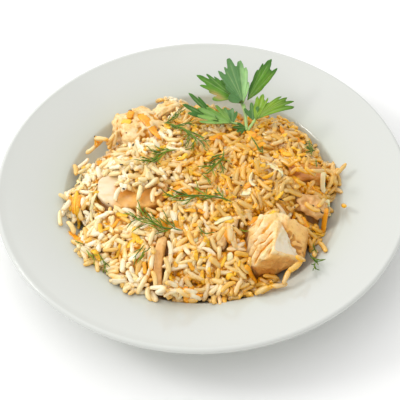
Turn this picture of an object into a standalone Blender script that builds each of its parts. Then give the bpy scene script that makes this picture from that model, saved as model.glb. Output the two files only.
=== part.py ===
# Chicken pilaf on a wide-rimmed porcelain plate, at real size, in metres, +Z up.
# The plate stands on z = 0 with its axis on Z. The heap of rice lies in the plate's well, the
# pieces of chicken sit in pockets in the rice, and dill and a sprig of parsley lie on top.

import math

import bmesh
import bpy
import numpy as np
from mathutils import Matrix, Vector, noise
from mathutils.bvhtree import BVHTree

MM = 0.001

# Plate
PLATE_RADIUS = 120 * MM
PLATE_HEIGHT = 32 * MM
PLATE_THICKNESS = 4 * MM
LIP_RADIUS = 1.8 * MM
WELL_FLOOR_RADIUS = 54 * MM
WELL_FLOOR_Z = 6 * MM
WALL_RADIUS = 34 * MM
WALL_ANGLE = math.radians(52)
SHOULDER_RADIUS = 6 * MM
FOOT_OUTER = 65 * MM
FOOT_INNER = 60 * MM
FOOT_CHAMFER = 0.8 * MM
TURN_STEPS = 56
WELL_SPACE_STEPS = 28

# Heap of rice
FOOD_GAP = 0.35 * MM
HEAP_TOP = 36 * MM
HEAP_RIM_Z = 25 * MM
HEAP_RADIUS = 82 * MM
HEAP_SHIFT = 1.8 * MM
HEAP_DOME_POWER = 2.2
# The edge is at least this wide, and this many times its own drop
HEAP_EDGE = 9 * MM
HEAP_EDGE_RATIO = 0.95
HEAP_EDGE_POWER = 1.9
# The block that becomes the heap runs this far under the glaze outside the outline
HEAP_UNDERCUT = 1.5 * MM
HEAP_CELL = 0.9 * MM
HEAP_MARGIN = 4 * MM
# Keeps the thinning from having to choose between equal edges
HEAP_ROUGHNESS = 0.03 * MM
HEAP_TRIANGLES = 3450
HEAP_SEED = 7
LUMP_COUNT = 46
LUMP_HEIGHT = 2.6 * MM
LUMP_SPREAD = 8 * MM
# Waves round the outline: how many, phase, height
HEAP_WAVES = ((9, 1.0, 1.2 * MM), (17, 0.0, 0.9 * MM))
# Places where the heap stays short of the shoulder: azimuth and half-width in degrees, depth
HEAP_NOTCHES = (
    (152, 17, 13 * MM),
    (98, 22, 13 * MM),
    (62, 14, 8 * MM),
    (-160, 5, 9 * MM),
    (-42, 20, 8 * MM),
)

# Grains and shreds
GRAIN_LENGTH = 9.2 * MM
GRAIN_WIDTH = 3.2 * MM
GRAIN_FLATNESS = 0.86
GRAIN_SCATTER = 0.8 * MM
GRAIN_MARGIN = 1.5 * MM
# How far a pressed grain rises, as a share of its width, and follows the heap's slope
GRAIN_RISE = 0.55
GRAIN_FOLLOW = 0.6
RELIEF_GRAINS = 640
LOOSE_GRAINS = 30
CARROT_LENGTH = 13 * MM
CARROT_WIDTH = 2.8 * MM
CARROT_THICKNESS = 1.3 * MM
CARROT_COUNT = 14

# Dill and parsley
THREAD_WIDTH = 0.8 * MM
LEAF_THICKNESS = 0.5 * MM
STALK_WIDTH = 1.9 * MM

# Chicken: fibres run along each piece's own X
DIP_SLOPE = 0.8
CLEAR_SHARE = 0.42
BALL_REACH = 1.12
POCKET_STRETCH = 1.6
FIBRE_LENGTH = 30 * MM
FIBRE_WIDTH = 7 * MM
FIBRE_HEIGHT = 3 * MM
CRUMB_SIZE = 7 * MM
CHICKEN = {
    "chicken_chunk_right": {
        "centre": (38 * MM, -50 * MM, 26 * MM),
        "size": (32 * MM, 36 * MM, 26 * MM),
        "turn": 78,
        "tilt": 5,
        "roll": 0,
        "blunt": 0.45,
        "crumb": 4 * MM,
        "buried": 0.45,
        "detail": 5,
        "planes": (((-0.12, -0.66, 0.74), 10.5 * MM), ((-0.23, 0.6, 0.78), 12.5 * MM)),
    },
    "chicken_slice_left": {
        "centre": (-40 * MM, -9 * MM, 29.5 * MM),
        "size": (42 * MM, 29 * MM, 12 * MM),
        "turn": -4,
        "tilt": 4,
        "roll": 3,
        "blunt": 0.6,
        "crumb": 3 * MM,
        "buried": 0.62,
        "detail": 3,
    },
    "chicken_back_left": {
        "centre": (-38 * MM, 45 * MM, 26 * MM),
        "size": (28 * MM, 27 * MM, 21 * MM),
        "turn": 30,
        "tilt": 0,
        "roll": -4,
        "blunt": 0.8,
        "crumb": 9 * MM,
        "buried": 0.6,
        "detail": 3,
    },
    "chicken_strip_back": {
        "centre": (-22 * MM, 55 * MM, 31.5 * MM),
        "size": (21 * MM, 8 * MM, 7 * MM),
        "turn": 38,
        "tilt": 6,
        "roll": 0,
        "blunt": 0.7,
        "crumb": 3 * MM,
        "buried": 0.55,
        "detail": 2,
    },
    "chicken_wedge_right": {
        "centre": (61 * MM, 2 * MM, 28 * MM),
        "size": (18 * MM, 13 * MM, 9 * MM),
        "turn": 12,
        "tilt": -12,
        "roll": -4,
        "blunt": 0.6,
        "crumb": 3 * MM,
        "buried": 0.6,
        "detail": 2,
    },
    "chicken_right": {
        "centre": (61 * MM, -19 * MM, 27 * MM),
        "size": (17 * MM, 11 * MM, 9 * MM),
        "turn": -15,
        "tilt": -15,
        "roll": -6,
        "blunt": 0.6,
        "crumb": 3 * MM,
        "buried": 0.55,
        "detail": 2,
    },
    "chicken_middle": {
        "centre": (38 * MM, -8 * MM, 32 * MM),
        "size": (24 * MM, 15 * MM, 11 * MM),
        "turn": -55,
        "tilt": -4,
        "roll": 0,
        "blunt": 0.75,
        "crumb": 3 * MM,
        "buried": 0.6,
        "detail": 2,
    },
    "chicken_strand_front": {
        "centre": (-24 * MM, -61 * MM, 28 * MM),
        "size": (32 * MM, 8 * MM, 7 * MM),
        "turn": 86,
        "tilt": 14,
        "roll": 0,
        "blunt": 0.6,
        "crumb": 2.5 * MM,
        "buried": 0.5,
        "detail": 2,
    },
    "chicken_flat_middle": {
        "centre": (12.5 * MM, -42 * MM, 31.5 * MM),
        "size": (22 * MM, 10 * MM, 8 * MM),
        "turn": 68,
        "tilt": 6,
        "roll": 0,
        "blunt": 0.65,
        "crumb": 3 * MM,
        "buried": 0.6,
        "detail": 2,
    },
}

# Dill: each frond runs from start to end, bowed sideways, with threads of a given reach
ROOF_CELL = 1.0 * MM
STEM_STEPS = 4
DILL = {
    "dill_back": {
        "start": (-23 * MM, 43 * MM),
        "end": (-3 * MM, 21 * MM),
        "bow": 3 * MM,
        "reach": 11 * MM,
        "threads": 6,
        "seed": 11,
    },
    "dill_left": {
        "start": (-14 * MM, 17 * MM),
        "end": (-31 * MM, 3 * MM),
        "bow": -5 * MM,
        "reach": 8 * MM,
        "threads": 6,
        "seed": 12,
    },
    "dill_centre": {
        "start": (13 * MM, 17 * MM),
        "end": (3 * MM, 0 * MM),
        "bow": 3 * MM,
        "reach": 8 * MM,
        "threads": 6,
        "seed": 13,
    },
    "dill_middle": {
        "start": (17 * MM, -27 * MM),
        "end": (-20 * MM, -21 * MM),
        "bow": -3 * MM,
        "reach": 9 * MM,
        "threads": 6,
        "seed": 14,
    },
    "dill_front": {
        "start": (-11 * MM, -43 * MM),
        "end": (-35 * MM, -28 * MM),
        "bow": 3 * MM,
        "reach": 10 * MM,
        "threads": 6,
        "seed": 15,
    },
}

# Parsley: radii of the leaflet's teeth and of the notches between them, as shares of its length
LEAF_TIPS = (0.55, 0.74, 0.72, 0.90, 1.0, 0.90, 0.72, 0.74, 0.55)
LEAF_NOTCHES = (0.52, 0.62, 0.50, 0.80, 0.80, 0.50, 0.62, 0.52)
LEAF_STEPS_PER_RIB = 4
LEAF_WAIST = 0.38
LEAF_WEDGE = 0.55
LEAF_FOLD = 0.18
LEAF_WAVE = 0.7 * MM
LEAF_OVERLAP = 1.5 * MM
STALK_STEP = 0.3 * MM
PARSLEY_FOOT = (27.4 * MM, 37 * MM, 38 * MM)
# Each stalk's points after the foot, then its leaflets: tip, the way it faces, spread, curl
PARSLEY = (
    (
        ((27 * MM, 45 * MM, 38 * MM), (26.8 * MM, 51 * MM, 40 * MM)),
        (
            ((-1 * MM, 73 * MM, 43 * MM), (-0.2, -0.4, 0.9), 38, 0.1),
            ((45 * MM, 84 * MM, 45 * MM), (0.3, -0.4, 0.87), 34, 0.1),
        ),
    ),
    (
        ((27.5 * MM, 45 * MM, 39 * MM), (26 * MM, 53 * MM, 43.5 * MM)),
        (((18 * MM, 79 * MM, 57 * MM), (0.1, -0.75, 0.66), 46, -0.1),),
    ),
    (
        ((24 * MM, 40 * MM, 38 * MM), (19 * MM, 43 * MM, 38.5 * MM)),
        (
            ((-4 * MM, 41 * MM, 40 * MM), (0.0, -0.4, 0.9), 44, 0.05),
            ((-9 * MM, 56 * MM, 44 * MM), (0.0, -0.7, 0.7), 30, 0.1),
        ),
    ),
    (
        ((30 * MM, 40 * MM, 38 * MM), (34 * MM, 44 * MM, 39 * MM)),
        (
            ((57 * MM, 54 * MM, 42 * MM), (0.1, -0.5, 0.86), 42, -0.05),
            ((38 * MM, 60 * MM, 43 * MM), (-0.3, -0.6, 0.7), 36, 0.1),
        ),
    ),
)


def remove_scene_objects():
    # Start from an empty scene.
    for item in list(bpy.data.objects):
        bpy.data.objects.remove(item, do_unlink=True)


def make_collection(name):
    # A collection under the scene's own.
    collection = bpy.data.collections.new(name)
    bpy.context.scene.collection.children.link(collection)
    return collection


def make_material(name, colour, roughness, coat=0.0):
    # Principled material with one linear colour.
    material = bpy.data.materials.new(name)
    material.use_nodes = True
    shader = material.node_tree.nodes["Principled BSDF"]
    shader.inputs["Base Color"].default_value = (*colour, 1.0)
    shader.inputs["Roughness"].default_value = roughness
    shader.inputs["Metallic"].default_value = 0.0
    shader.inputs["Coat Weight"].default_value = coat
    return material


def add_object(name, bm, collection, material=None):
    # Turn a bmesh into a named object.
    mesh = bpy.data.meshes.new(name)
    bm.to_mesh(mesh)
    bm.free()
    if material:
        mesh.materials.append(material)
    item = bpy.data.objects.new(name, mesh)
    collection.objects.link(item)
    return item


def mark_cutter(item):
    # Cutters show as wires and never render.
    item.hide_render = True
    item.display_type = "WIRE"


def apply_modifiers(item):
    # Replace the object's mesh by its evaluated one.
    graph = bpy.context.evaluated_depsgraph_get()
    result = bpy.data.meshes.new_from_object(item.evaluated_get(graph))
    item.modifiers.clear()
    old = item.data
    item.data = result
    bpy.data.meshes.remove(old)


def boolean(item, operation, operand):
    # Boolean with one object or with a whole collection, applied at once.
    cut = item.modifiers.new(operation.title(), "BOOLEAN")
    cut.operation = operation
    cut.solver = "MANIFOLD"
    if isinstance(operand, bpy.types.Collection):
        cut.operand_type = "COLLECTION"
        cut.collection = operand
    else:
        cut.object = operand
    apply_modifiers(item)


def keep_largest_body(item):
    # Drop the loose scraps that a cut leaves beside the main body.
    bm = bmesh.new()
    bm.from_mesh(item.data)
    bodies = []
    waiting = set(bm.verts)
    while waiting:
        body = {waiting.pop()}
        front = list(body)
        while front:
            vertex = front.pop()
            for edge in vertex.link_edges:
                other = edge.other_vert(vertex)
                if other not in body:
                    body.add(other)
                    front.append(other)
        waiting -= body
        bodies.append(body)
    bodies.sort(key=len, reverse=True)
    scraps = [vertex for body in bodies[1:] for vertex in body]
    bmesh.ops.delete(bm, geom=scraps, context="VERTS")
    bm.to_mesh(item.data)
    bm.free()


def arc(centre_x, centre_z, radius, start, end, count):
    # Points on a circle from one angle to another, in radians.
    points = []
    for step in range(count + 1):
        angle = start + (end - start) * step / count
        points.append((centre_x + radius * math.cos(angle), centre_z + radius * math.sin(angle)))
    return points


def shoulder_centre():
    # The convex shoulder arc carries the wall on without a kink.
    reach = WALL_RADIUS + SHOULDER_RADIUS
    x = WELL_FLOOR_RADIUS + reach * math.sin(WALL_ANGLE)
    z = WELL_FLOOR_Z + WALL_RADIUS - reach * math.cos(WALL_ANGLE)
    return x, z


def rim_angle():
    # Slope of the rim: the straight line that touches the shoulder arc and the lip's circle.
    x, z = shoulder_centre()
    lip_x = PLATE_RADIUS - LIP_RADIUS
    lip_z = PLATE_HEIGHT - LIP_RADIUS
    run = lip_x - x
    climb = lip_z - z
    offset = math.asin((SHOULDER_RADIUS - LIP_RADIUS) / math.hypot(run, climb))
    return math.atan2(climb, run) + offset


def well_profile(gap, wall_steps, shoulder_steps):
    # Upper side of the well from the centre to the end of the shoulder, lifted by a gap.
    quarter = math.pi / 2
    points = [(0.0, WELL_FLOOR_Z + gap)]
    wall = arc(
        WELL_FLOOR_RADIUS,
        WELL_FLOOR_Z + WALL_RADIUS,
        WALL_RADIUS - gap,
        -quarter,
        WALL_ANGLE - quarter,
        wall_steps,
    )
    x, z = shoulder_centre()
    shoulder = arc(
        x, z, SHOULDER_RADIUS + gap, WALL_ANGLE + quarter, rim_angle() + quarter, shoulder_steps
    )
    return points + wall + shoulder[1:]


def plate_profile():
    # Closed section of the plate: over the top, round the lip and back underneath.
    quarter = math.pi / 2
    slope = rim_angle()
    upper = well_profile(0.0, 5, 2)
    lip = arc(
        PLATE_RADIUS - LIP_RADIUS,
        PLATE_HEIGHT - LIP_RADIUS,
        LIP_RADIUS,
        slope + quarter,
        slope - quarter,
        3,
    )
    x, z = shoulder_centre()
    back = SHOULDER_RADIUS - PLATE_THICKNESS
    under_rim = arc(x, z, back, slope + quarter, WALL_ANGLE + quarter, 1)
    under_wall = arc(
        WELL_FLOOR_RADIUS,
        WELL_FLOOR_Z + WALL_RADIUS,
        WALL_RADIUS + PLATE_THICKNESS,
        WALL_ANGLE - quarter,
        math.asin((FOOT_OUTER - WELL_FLOOR_RADIUS) / (WALL_RADIUS + PLATE_THICKNESS)) - quarter,
        3,
    )
    underside = WELL_FLOOR_Z - PLATE_THICKNESS
    foot = [
        (FOOT_OUTER, FOOT_CHAMFER),
        (FOOT_OUTER - FOOT_CHAMFER, 0.0),
        (FOOT_INNER + FOOT_CHAMFER, 0.0),
        (FOOT_INNER, FOOT_CHAMFER),
        (FOOT_INNER - FOOT_CHAMFER, underside),
        (0.0, underside),
    ]
    return upper + lip + under_rim + under_wall + foot


def turned_object(name, profile, steps, collection, material=None):
    # A profile in the XZ plane swept round Z by a Screw modifier.
    bm = bmesh.new()
    row = [bm.verts.new((x, 0.0, z)) for x, z in profile]
    for first, second in zip(row, row[1:]):
        bm.edges.new((first, second))
    item = add_object(name, bm, collection, material)
    screw = item.modifiers.new("Turn", "SCREW")
    screw.axis = "Z"
    screw.steps = steps
    screw.render_steps = steps
    screw.use_merge_vertices = True
    screw.merge_threshold = 0.00001
    screw.use_smooth_shade = True
    return item


def make_plate(collection, material):
    # Porcelain plate turned in one piece, with its foot ring.
    return turned_object("plate", plate_profile(), TURN_STEPS, collection, material)


def make_well_space(collection):
    # The space over the plate that food may fill, a hair above the glaze.
    profile = well_profile(FOOD_GAP, 5, 2)
    outer_x, outer_z = profile[-1]
    run = PLATE_RADIUS - 2 * LIP_RADIUS - outer_x
    ceiling = 3 * PLATE_HEIGHT
    profile.append((outer_x + run, outer_z + run * math.tan(rim_angle())))
    profile.append((outer_x + run, ceiling))
    profile.append((0.0, ceiling))
    profile.reverse()
    item = turned_object("well_space", profile, WELL_SPACE_STEPS, collection)
    mark_cutter(item)
    apply_modifiers(item)
    return item


def well_height(radius):
    # Height of the plate's upper side at a radius, or at each of an array of radii.
    points = well_profile(0.0, 24, 6)
    outer_x, outer_z = points[-1]
    run = PLATE_RADIUS - outer_x
    points.append((PLATE_RADIUS, outer_z + run * math.tan(rim_angle())))
    return np.interp(radius, [point[0] for point in points], [point[1] for point in points])


def heap_outline(azimuth):
    # Radius of the heap's foot: the shoulder, less each notch, with a fine waver.
    outline = HEAP_RADIUS - HEAP_SHIFT * np.cos(azimuth)
    for count, phase, height in HEAP_WAVES:
        outline = outline + height * np.sin(count * azimuth + phase)
    for centre, half_width, depth in HEAP_NOTCHES:
        turn = np.angle(np.exp(1j * (azimuth - math.radians(centre))))
        outline = outline - depth * np.exp(-((turn / math.radians(half_width)) ** 2))
    return outline


def dip_round(values, x, y):
    # Height limit that leaves the upper part of a piece of chicken free, rising away from it.
    centre = values["centre"]
    length, width, height = values["size"]
    turn = math.radians(values["turn"])
    dx = x - centre[0]
    dy = y - centre[1]
    along = (dx * math.cos(turn) + dy * math.sin(turn)) / (length / 2)
    across = (dy * math.cos(turn) - dx * math.sin(turn)) / (width / 2)
    away = np.sqrt(along**2 + across**2)
    bury = values["buried"] - 0.5
    return centre[2] + bury * height + np.maximum(away - 0.95, 0) * width * DIP_SLOPE


def heap_envelope(x, y, rng):
    # Domed heap with soft lumps that drops in a round shoulder to its outline.
    radius = np.hypot(x, y)
    outline = heap_outline(np.arctan2(y, x))
    dome = HEAP_TOP - (HEAP_TOP - HEAP_RIM_Z) * (radius / HEAP_RADIUS) ** HEAP_DOME_POWER
    for _ in range(LUMP_COUNT):
        angle = rng.uniform(0, 2 * math.pi)
        reach = HEAP_RADIUS * math.sqrt(rng.uniform(0, 1))
        spread = LUMP_SPREAD * rng.uniform(0.7, 1.3)
        height = LUMP_HEIGHT * rng.uniform(-0.8, 1.0)
        away = (x - reach * math.cos(angle)) ** 2 + (y - reach * math.sin(angle)) ** 2
        dome = dome + height * np.exp(-away / (2 * spread**2))
    for values in CHICKEN.values():
        dome = np.minimum(dome, dip_round(values, x, y))
    ground = well_height(radius)
    reach = np.maximum(HEAP_EDGE, (dome - ground) * HEAP_EDGE_RATIO)
    edge = np.clip((outline - radius) / reach, 0, 1)
    inside = ground + (dome - ground) * (1 - (1 - edge) ** HEAP_EDGE_POWER)
    return np.where(radius < outline, inside, ground - HEAP_UNDERCUT)


def grain_places(count, rng):
    # Evenly spread places inside the outline: a sunflower spiral with some scatter.
    places = []
    golden = math.pi * (3 - math.sqrt(5))
    for index in range(count):
        angle = index * golden
        limit = float(heap_outline(angle)) - GRAIN_MARGIN
        reach = limit * math.sqrt((index + 0.5) / count)
        x = reach * math.cos(angle) + rng.normal(0, GRAIN_SCATTER)
        y = reach * math.sin(angle) + rng.normal(0, GRAIN_SCATTER)
        places.append((x, y))
    return places


def press_grains(height, axis, rng):
    # Raise grain-sized ridges on the height grid, each a half ellipsoid lying on the heap.
    base = height.copy()
    for x, y in grain_places(RELIEF_GRAINS, rng):
        length = GRAIN_LENGTH * rng.uniform(0.85, 1.15)
        width = GRAIN_WIDTH * rng.uniform(0.9, 1.15)
        turn = rng.uniform(0, math.pi)
        lift = rng.uniform(-0.2, 1.0) * MM
        near_x = np.flatnonzero(np.abs(axis - x) < length / 2)
        near_y = np.flatnonzero(np.abs(axis - y) < length / 2)
        rows = slice(near_y[0], near_y[-1] + 1)
        columns = slice(near_x[0], near_x[-1] + 1)
        dx, dy = np.meshgrid(axis[columns] - x, axis[rows] - y)
        along = (dx * math.cos(turn) + dy * math.sin(turn)) / (length / 2)
        across = (dy * math.cos(turn) - dx * math.sin(turn)) / (width / 2)
        shape = 1 - along**2 - across**2
        middle = float(np.median(base[rows, columns][shape > 0.2]))
        tilt = (base[rows, columns] - middle) * GRAIN_FOLLOW
        top = middle + tilt + lift + np.sqrt(np.clip(shape, 0, 1)) * width * GRAIN_RISE
        covered = (shape > 0) & (base[rows, columns] > well_height(math.hypot(x, y)))
        height[rows, columns] = np.where(
            covered, np.maximum(height[rows, columns], top), height[rows, columns]
        )
    return height


def make_heap_block(rng, collection, material):
    # Block whose top is the grainy heap, thinned to few triangles.
    reach = HEAP_RADIUS + HEAP_MARGIN
    count = 2 * math.ceil(reach / HEAP_CELL)
    bm = bmesh.new()
    half = count * HEAP_CELL / 2
    bmesh.ops.create_grid(bm, x_segments=count, y_segments=count, size=half)
    axis = np.linspace(-half, half, count + 1)
    x, y = np.meshgrid(axis, axis)
    height = press_grains(heap_envelope(x, y, rng), axis, rng)
    height = height + rng.uniform(-1, 1, height.shape) * HEAP_ROUGHNESS
    for vertex in bm.verts:
        column = int(round((vertex.co.x + half) / HEAP_CELL))
        row = int(round((vertex.co.y + half) / HEAP_CELL))
        vertex.co.z = height[row, column]
    outside = [v for v in bm.verts if v.co.xy.length > reach]
    bmesh.ops.delete(bm, geom=outside, context="VERTS")
    border = [edge for edge in bm.edges if edge.is_boundary]
    skirt = bmesh.ops.extrude_edge_only(bm, edges=border)["geom"]
    foot = [part for part in skirt if isinstance(part, bmesh.types.BMVert)]
    for vertex in foot:
        vertex.co.z = rng.uniform(0, HEAP_UNDERCUT)
    middle = bm.verts.new((0, 0, 2 * HEAP_UNDERCUT))
    ring = [edge for edge in bm.edges if edge.is_boundary]
    for edge in ring:
        bm.faces.new((edge.verts[0], edge.verts[1], middle))
    bmesh.ops.recalc_face_normals(bm, faces=bm.faces)
    item = add_object("rice", bm, collection, material)
    thin = item.modifiers.new("Thin", "DECIMATE")
    thin.decimate_type = "COLLAPSE"
    thin.use_collapse_triangulate = True
    thin.ratio = HEAP_TRIANGLES / (len(item.data.polygons) * 2)
    apply_modifiers(item)
    return item


def cast_down(trees, x, y):
    # Height of the highest surface under a point, or None beside the food.
    hits = []
    for tree in trees:
        place, _, _, _ = tree.ray_cast(Vector((x, y, 1.0)), Vector((0, 0, -1)))
        if place:
            hits.append(place.z)
    return max(hits) if hits else None


def surface_tree(item):
    # Search tree of one object's faces.
    bm = bmesh.new()
    bm.from_mesh(item.data)
    tree = BVHTree.FromBMesh(bm)
    bm.free()
    return tree


def grain_object(name, length, width, matrix, collection):
    # One grain: a slim low ellipsoid with few sides.
    bm = bmesh.new()
    bmesh.ops.create_uvsphere(bm, u_segments=5, v_segments=4, radius=0.5)
    bm.transform(Matrix.Rotation(math.pi / 2, 4, "Y"))
    bm.transform(Matrix.Diagonal((length, width, width * GRAIN_FLATNESS, 1.0)))
    bm.transform(matrix)
    return add_object(name, bm, collection)


def carrot_object(name, length, bend, matrix, collection):
    # One grated shred of carrot: a flat strip with a bend half way.
    bm = bmesh.new()
    bmesh.ops.create_cube(bm, size=1.0)
    along = [edge for edge in bm.edges if abs(edge.verts[0].co.x - edge.verts[1].co.x) > 0.5]
    bmesh.ops.subdivide_edges(bm, edges=along, cuts=1)
    for vertex in bm.verts:
        middle = 1 - (2 * vertex.co.x) ** 2
        narrow = 0.6 + 0.4 * middle
        vertex.co.x *= length
        vertex.co.y = vertex.co.y * CARROT_WIDTH * narrow + bend * middle
        vertex.co.z *= CARROT_THICKNESS
    bm.transform(matrix)
    return add_object(name, bm, collection)


def lying_matrix(x, y, z, turn, tilt, roll=0.0):
    # Place for a piece whose length runs along its own X.
    return (
        Matrix.Translation((x, y, z))
        @ Matrix.Rotation(turn, 4, "Z")
        @ Matrix.Rotation(-tilt, 4, "Y")
        @ Matrix.Rotation(roll, 4, "X")
    )


def add_loose_pieces(rice, keep_clear, rng):
    # Stray grains at the foot of the heap, grains that stand proud, and shreds of carrot.
    pieces = make_collection("loose_pieces")
    tree = surface_tree(rice)
    for index in range(LOOSE_GRAINS):
        length = GRAIN_LENGTH * rng.uniform(0.9, 1.15)
        width = GRAIN_WIDTH * rng.uniform(0.9, 1.1)
        angle = rng.uniform(0, 2 * math.pi)
        foot = float(heap_outline(angle)) - GRAIN_MARGIN
        stray = index % 2 == 0
        reach = foot if stray else foot * math.sqrt(rng.uniform(0.02, 0.75))
        x = reach * math.cos(angle)
        y = reach * math.sin(angle)
        ground = float(well_height(reach)) + FOOD_GAP
        turn = angle + rng.uniform(-1.3, 1.3)
        slope = (float(well_height(reach + MM)) - float(well_height(reach - MM))) / (2 * MM)
        if stray:
            z = ground + width * 0.62
            tilt = math.atan(slope * math.cos(turn - angle))
        else:
            z = cast_down([tree], x, y) + width * 0.1
            tilt = rng.uniform(-0.5, 0.5)
        matrix = lying_matrix(x, y, z, turn, tilt)
        if clear_of_pockets(matrix, length, keep_clear):
            grain_object("loose_grain", length, width, matrix, pieces)
    for x, y in grain_places(CARROT_COUNT, rng):
        length = CARROT_LENGTH * rng.uniform(0.7, 1.2)
        turn = rng.uniform(0, math.pi)
        z = cast_down([tree], x, y) + CARROT_THICKNESS * 0.15
        matrix = lying_matrix(x, y, z, turn, rng.uniform(-0.2, 0.2), rng.uniform(-0.3, 0.3))
        bend = rng.uniform(-2, 2) * MM
        if clear_of_pockets(matrix, length, keep_clear):
            carrot_object("carrot_shred", length, bend, matrix, pieces)
    join_pieces(rice, pieces)


def clear_of_pockets(matrix, length, keep_clear):
    # A loose piece that would reach a pocket is skipped.
    for share in (-0.5, 0.0, 0.5):
        place = matrix @ Vector((share * length, 0, 0))
        for centre, radius in keep_clear:
            if (place.xy - centre).length < radius:
                return False
    return True


def join_pieces(item, pieces):
    # Union with every object of a collection, which is then removed.
    boolean(item, "UNION", pieces)
    for piece in list(pieces.objects):
        bpy.data.objects.remove(piece, do_unlink=True)
    bpy.data.collections.remove(pieces)


def chicken_piece(name, collection, material, values):
    # A torn or cut piece of chicken: a blunted block with long fibres, crumbs and flat cuts.
    bm = bmesh.new()
    bmesh.ops.create_cube(bm, size=2.0)
    bmesh.ops.subdivide_edges(bm, edges=bm.edges, cuts=values["detail"], use_grid_fill=True)
    half = Vector(values["size"]) / 2
    shift = Vector(values["centre"]) / (7 * MM)
    blunt = values["blunt"]
    crumb = values["crumb"]
    for vertex in bm.verts:
        shape = vertex.co.lerp(vertex.co.normalized() * BALL_REACH, blunt)
        point = Vector((shape.x * half.x, shape.y * half.y, shape.z * half.z))
        fibre = noise.noise(Vector((point.x / FIBRE_LENGTH, point.y / FIBRE_WIDTH, 0)) + shift)
        lump = noise.noise(point / CRUMB_SIZE + shift)
        swell = 1 + (crumb * lump + FIBRE_HEIGHT * fibre) / max(min(half), 4 * MM)
        vertex.co = Vector((point.x * (0.5 + 0.5 * swell), point.y * swell, point.z * swell))
    for normal, distance in values.get("planes", ()):
        normal = Vector(normal).normalized()
        for vertex in bm.verts:
            beyond = vertex.co.dot(normal) - distance
            if beyond > 0:
                vertex.co -= normal * beyond
    bmesh.ops.triangulate(bm, faces=bm.faces)
    angles = [math.radians(values[key]) for key in ("turn", "tilt", "roll")]
    bm.transform(lying_matrix(*values["centre"], *angles))
    return add_object(name, bm, collection, material)


def pocket_for(piece, collection):
    # Copy of a piece, grown by the gap on every side.
    bm = bmesh.new()
    bm.from_mesh(piece.data)
    bm.normal_update()
    moves = [(vertex, vertex.normal * vertex.calc_shell_factor()) for vertex in bm.verts]
    for vertex, move in moves:
        vertex.co += move * min(1.0, POCKET_STRETCH / move.length) * FOOD_GAP
    pocket = add_object(piece.name + "_pocket", bm, collection)
    mark_cutter(pocket)
    return pocket


def boxes_touch(first, second):
    # Whether the bounding boxes of two objects that aren't turned share any space.
    for axis in range(3):
        if first.bound_box[6][axis] < second.bound_box[0][axis]:
            return False
        if second.bound_box[6][axis] < first.bound_box[0][axis]:
            return False
    return True


def make_chicken(collection, material, well_space, pockets):
    # Every piece of chicken, trimmed where it would touch the plate or an earlier piece.
    pieces = []
    for name, values in CHICKEN.items():
        piece = chicken_piece(name, collection, material, values)
        boolean(piece, "INTERSECT", well_space)
        for pocket in pockets.objects:
            if boxes_touch(piece, pocket):
                boolean(piece, "DIFFERENCE", pocket)
        keep_largest_body(piece)
        piece.data.shade_smooth()
        piece.data.set_sharp_from_angle(angle=math.radians(35))
        pocket_for(piece, pockets)
        pieces.append(piece)
    return pieces


def tube_object(name, points, widths, collection, material=None):
    # Thin stalk or thread: a poly curve with a bevel, turned into a mesh with closed ends.
    curve = bpy.data.curves.new(name, "CURVE")
    curve.dimensions = "3D"
    curve.bevel_depth = 0.5
    curve.bevel_resolution = 0
    curve.use_fill_caps = True
    spline = curve.splines.new("POLY")
    spline.points.add(len(points) - 1)
    for point, place, width in zip(spline.points, points, widths):
        point.co = (*place, 1.0)
        point.radius = width
    guide = bpy.data.objects.new(name, curve)
    collection.objects.link(guide)
    bpy.context.view_layer.update()
    graph = bpy.context.evaluated_depsgraph_get()
    mesh = bpy.data.meshes.new_from_object(guide.evaluated_get(graph))
    bm = bmesh.new()
    bm.from_mesh(mesh)
    bmesh.ops.remove_doubles(bm, verts=bm.verts, dist=0.00001)
    bmesh.ops.recalc_face_normals(bm, faces=bm.faces)
    bpy.data.meshes.remove(mesh)
    bpy.data.objects.remove(guide, do_unlink=True)
    bpy.data.curves.remove(curve)
    return add_object(name, bm, collection, material)


def food_roof(items):
    # Height grid of everything laid so far, widened so that a thread on it touches nothing.
    trees = [surface_tree(item) for item in items]
    count = int(2 * PLATE_RADIUS / ROOF_CELL)
    axis = (np.arange(count) + 0.5) * ROOF_CELL - PLATE_RADIUS
    grid = np.zeros((count, count))
    for row, y in enumerate(axis):
        for column, x in enumerate(axis):
            ground = float(well_height(math.hypot(x, y)))
            grid[row, column] = max(cast_down(trees, x, y) or 0.0, ground)
    wide = grid.copy()
    for down in (-2, -1, 0, 1, 2):
        for across in (-2, -1, 0, 1, 2):
            wide = np.maximum(wide, np.roll(grid, (down, across), axis=(0, 1)))
    return wide


def roof_height(roof, x, y):
    # Height of the widened grid at a place.
    column = int((x + PLATE_RADIUS) / ROOF_CELL)
    row = int((y + PLATE_RADIUS) / ROOF_CELL)
    return float(roof[row, column])


def point_along(path, share):
    # Place at a share of the way along a path of evenly spread points.
    step = min(int(share * (len(path) - 1)), len(path) - 2)
    rest = share * (len(path) - 1) - step
    return path[step].lerp(path[step + 1], rest)


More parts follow.
